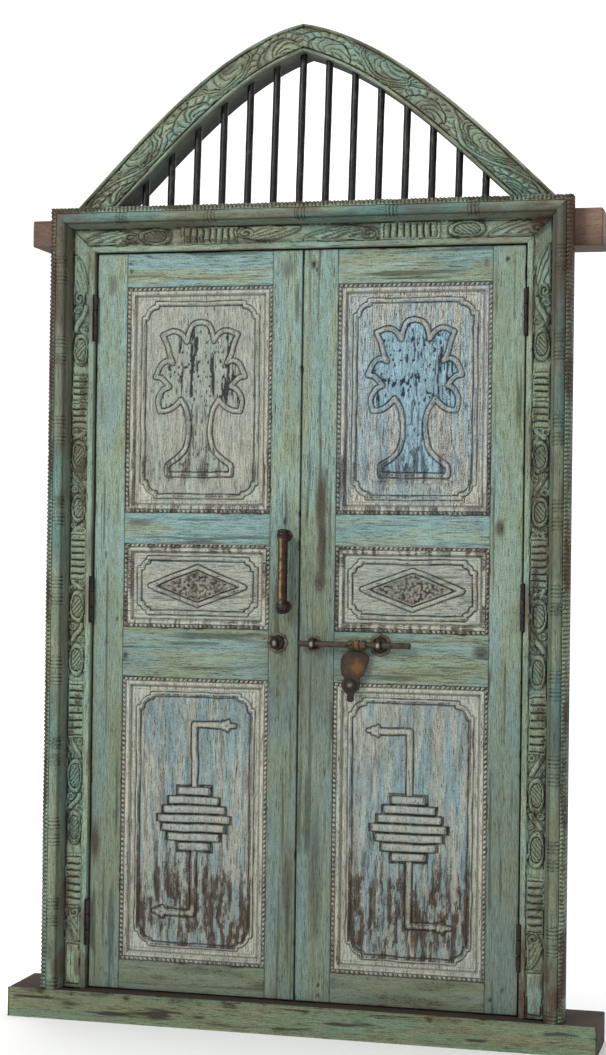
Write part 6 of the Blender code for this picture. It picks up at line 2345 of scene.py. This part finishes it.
@dataclass
class Leaves:
    """The two leaves: stiles, rails and carved panels."""

    board_seed: int = 20
    panel_seed: int = 50
    side_step: int = 10

    def build(self, shop: Workshop) -> None:
        """Make every board and panel of both leaves.

        Args:
            shop: Where pieces are fitted.
        """
        boards = (
            ("hinge_stile", True, 0.20), ("meeting_stile", True, 0.24), ("top_rail", False, 0.50),
            ("frieze_rail", False, 0.44), ("lock_rail", False, 0.26), ("bottom_rail", False, 0.04))
        for leaf, side in (("left", -1), ("right", 1)):
            for index, (name, upright, blue) in enumerate(boards):
                bare = 0.24 if name == "bottom_rail" else 0.10
                seed = self.board_seed + index + self.side_step * (side > 0)
                Board(f"{leaf}_{name}", seed, upright, self.pits(f"{leaf}_{name}"), blue, bare).build(shop)
            for index, motif in enumerate(Motif):
                seed = self.panel_seed + index + self.side_step * (side > 0)
                Panel(leaf, motif, side, seed).build(shop)

    def pits(self, node: str) -> tuple[Pit, ...]:
        """The nail holes, knots and bruises of a board.

        Args:
            node: The board's CAD node.

        Returns:
            Its pits, none for a plain board.
        """
        return {
            "left_hinge_stile": (
                Pit(-0.488, 1.790, 0.008, 0.018, 0.7, 0.0), Pit(-0.482, 0.103),
                Pit(-0.497, 1.129, 0.003, 0.006), Pit(-0.494, 0.921, 0.004, 0.004),
                Pit(-0.466, 0.975, 0.004, 0.006, 0.8), Pit(-0.515, 0.431, 0.010, 0.040, 0.6, 0.0)),
            "left_meeting_stile": (
                Pit(-0.048, 0.148), Pit(-0.048, 0.119), Pit(-0.048, 1.822, 0.013, 0.018, 0.7, 0.0),
                Pit(-0.046, 1.215, 0.003, 0.008), Pit(-0.028, 0.34, 0.012, 0.09, 0.4, 0.0)),
            "left_frieze_rail": (Pit(-0.410, 1.210, 0.026, 0.006, 0.8, 0.0),),
            "left_lock_rail": (
                Pit(-0.444, 0.885, 0.005, 0.010, 0.8), Pit(-0.300, 0.930, 0.020, 0.004, 0.3, 0.0)),
            "left_top_rail": (Pit(-0.442, 1.840, 0.006, 0.003, 0.8), Pit(-0.442, 1.821, 0.003, 0.006, 0.8)),
            "right_hinge_stile": (
                Pit(0.484, 1.833, 0.005, 0.005), Pit(0.505, 1.846), Pit(0.463, 0.106), Pit(0.491, 0.131),
                Pit(0.473, 1.203, 0.009, 0.016, 1.0, 0.0), Pit(0.478, 1.206, 0.003, 0.005)),
            "right_lock_rail": (Pit(0.432, 0.915, 0.014, 0.012, 0.9, 0.0), Pit(0.436, 0.908, 0.003, 0.003)),
            "right_meeting_stile": (
                Pit(0.043, 1.262, 0.011, 0.060, 1.0, 0.0), Pit(0.046, 1.165, 0.008, 0.080, 0.85, 0.0),
                Pit(0.042, 1.075, 0.010, 0.018, 1.0, 0.0), Pit(0.042, 1.072, 0.006, 0.010, 0.6),
                Pit(0.019, 1.095), Pit(0.024, 1.088), Pit(0.052, 1.172), Pit(0.051, 0.114), Pit(0.051, 0.088),
                Pit(0.018, 1.831, 0.005, 0.010), Pit(0.026, 1.819), Pit(0.040, 0.36, 0.012, 0.11, 0.4, 0.0)),
            "right_top_rail": (Pit(0.437, 1.827, 0.004, 0.014, 0.8), Pit(0.300, 1.828, 0.030, 0.0025, 0.5))
        }.get(node, ())


@dataclass
class Studio:
    """The camera, soft lights, pale floor and backdrop."""

    eye: tuple[float, float, float] = (1.1963, -4.7467, 1.1623)
    yaw: float = math.radians(14.1516)
    pitch: float = math.radians(0.4548)
    roll: float = math.radians(0.7469)
    lens: float = 69.95

    def camera(self) -> None:
        """The camera at the photograph's place, turned by its yaw, pitch and roll."""
        yaw, pitch, roll = self.yaw, self.pitch, self.roll
        ahead = Vector((-math.sin(yaw) * math.cos(pitch), math.cos(yaw) * math.cos(pitch), math.sin(pitch)))
        level = Vector((math.cos(yaw), math.sin(yaw), 0.0))
        up = level.cross(ahead)
        right = level * math.cos(roll) + up * math.sin(roll)
        top = -level * math.sin(roll) + up * math.cos(roll)
        data = bpy.data.cameras.new("camera")
        data.lens = self.lens
        data.sensor_width = 36.0
        data.clip_end = 60.0
        made = bpy.data.objects.new("camera", data)
        made.matrix_world = Matrix.Translation(self.eye) @ Matrix((right, top, -ahead)).transposed().to_4x4()
        bpy.context.scene.collection.objects.link(made)
        bpy.context.scene.camera = made

    def light(
        self, name: str, place: Sequence[float], aim: Sequence[float], size: float, power: float,
        tint: Sequence[float] = (1, 1, 1)) -> None:
        """A square area light that looks at a point.

        Args:
            name: Its name.
            place: Where it hangs.
            aim: What it looks at.
            size: Its side.
            power: Its power in watts.
            tint: Its colour.
        """
        data = bpy.data.lights.new(name, "AREA")
        data.size = size
        data.energy = power
        data.color = tuple(tint)
        made = bpy.data.objects.new(name, data)
        made.location = place
        made.rotation_mode = "QUATERNION"
        made.rotation_quaternion = (Vector(aim) - Vector(place)).to_track_quat("-Z", "Y")
        bpy.context.scene.collection.objects.link(made)

    def backdrop(self) -> None:
        """A pale floor that curves up into a wall behind the door, clear when seen from its own back."""
        turn = np.linspace(0, np.pi / 2, 12)
        far, radius, wide = 3.2, 1.6, 40.0
        y = np.concatenate([[-9.0, 0.0], far + radius * np.sin(turn), [far + radius]])
        z = np.concatenate([[0.0, 0.0], radius * (1 - np.cos(turn)), [8.0]])
        points = np.concatenate([np.stack([np.full(len(y), x), y, z], -1) for x in (-wide, wide)])
        count = len(y)
        faces = [(i, count + i, count + i + 1, i + 1) for i in range(count - 1)]
        mesh = bpy.data.meshes.new("pale_floor")
        mesh.from_pydata(points.tolist(), [], faces)
        mesh.shade_smooth()
        paper = bpy.data.materials.new("studio_paper")
        paper.use_nodes = True
        shader = paper.node_tree.nodes["Principled BSDF"]
        shader.inputs["Base Color"].default_value = (0.92, 0.92, 0.915, 1.0)
        shader.inputs["Roughness"].default_value = 0.9
        graph = Graph(paper.node_tree)
        behind = graph.add("ShaderNodeNewGeometry").outputs["Backfacing"]
        graph.feed(shader.inputs["Alpha"], graph.sum(1.0, behind, "SUBTRACT"))
        mesh.materials.append(paper)
        floor = bpy.data.objects.new("pale_floor", mesh)
        bpy.context.scene.collection.objects.link(floor)

    def build(self) -> None:
        """Set up the whole studio."""
        self.camera()
        self.backdrop()
        self.light("key", (-2.4, -4.4, 4.4), (0.0, 0.0, 1.2), 1.8, 235.0, (1.0, 0.99, 0.97))
        self.light("fill", (3.2, -4.6, 1.6), (0.0, 0.0, 1.0), 2.6, 34.0, (0.95, 0.98, 1.0))
        self.light("backdrop_wash", (0.0, 1.2, 5.5), (0.0, 4.2, 0.6), 4.0, 220.0)
        world = bpy.data.worlds.new("soft_room")
        world.use_nodes = True
        world.node_tree.nodes["Background"].inputs["Color"].default_value = (0.95, 0.97, 1.0, 1.0)
        world.node_tree.nodes["Background"].inputs["Strength"].default_value = 0.42
        bpy.context.scene.world = world
        bpy.context.scene.view_settings.view_transform = "Standard"


def main() -> None:
    """Build the whole door on its frame and set up the studio."""
    logging.basicConfig(level=logging.INFO, format="%(name)s: %(message)s")
    for old in list(bpy.data.objects):
        bpy.data.objects.remove(old)
    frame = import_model()
    shop = Workshop(frame)
    Timbers().threshold(shop)
    Timbers().lintel(shop)
    Timbers().posts(shop)
    for label, side, seed in (("casing_left", -1, 31), ("casing_right", 1, 37), ("casing_head", 0, 41)):
        Casing(label, side, seed).build(shop)
    halves = (ArchHalf(-1, 43), ArchHalf(1, 47))
    for half in halves:
        half.build(shop)
    WindowBars(halves).build(shop)
    Leaves().build(shop)
    Ironwork().build(shop)
    Studio().build()
    LOG.info("%d triangles in all", shop.triangles)


if __name__ == "__main__":
    main()
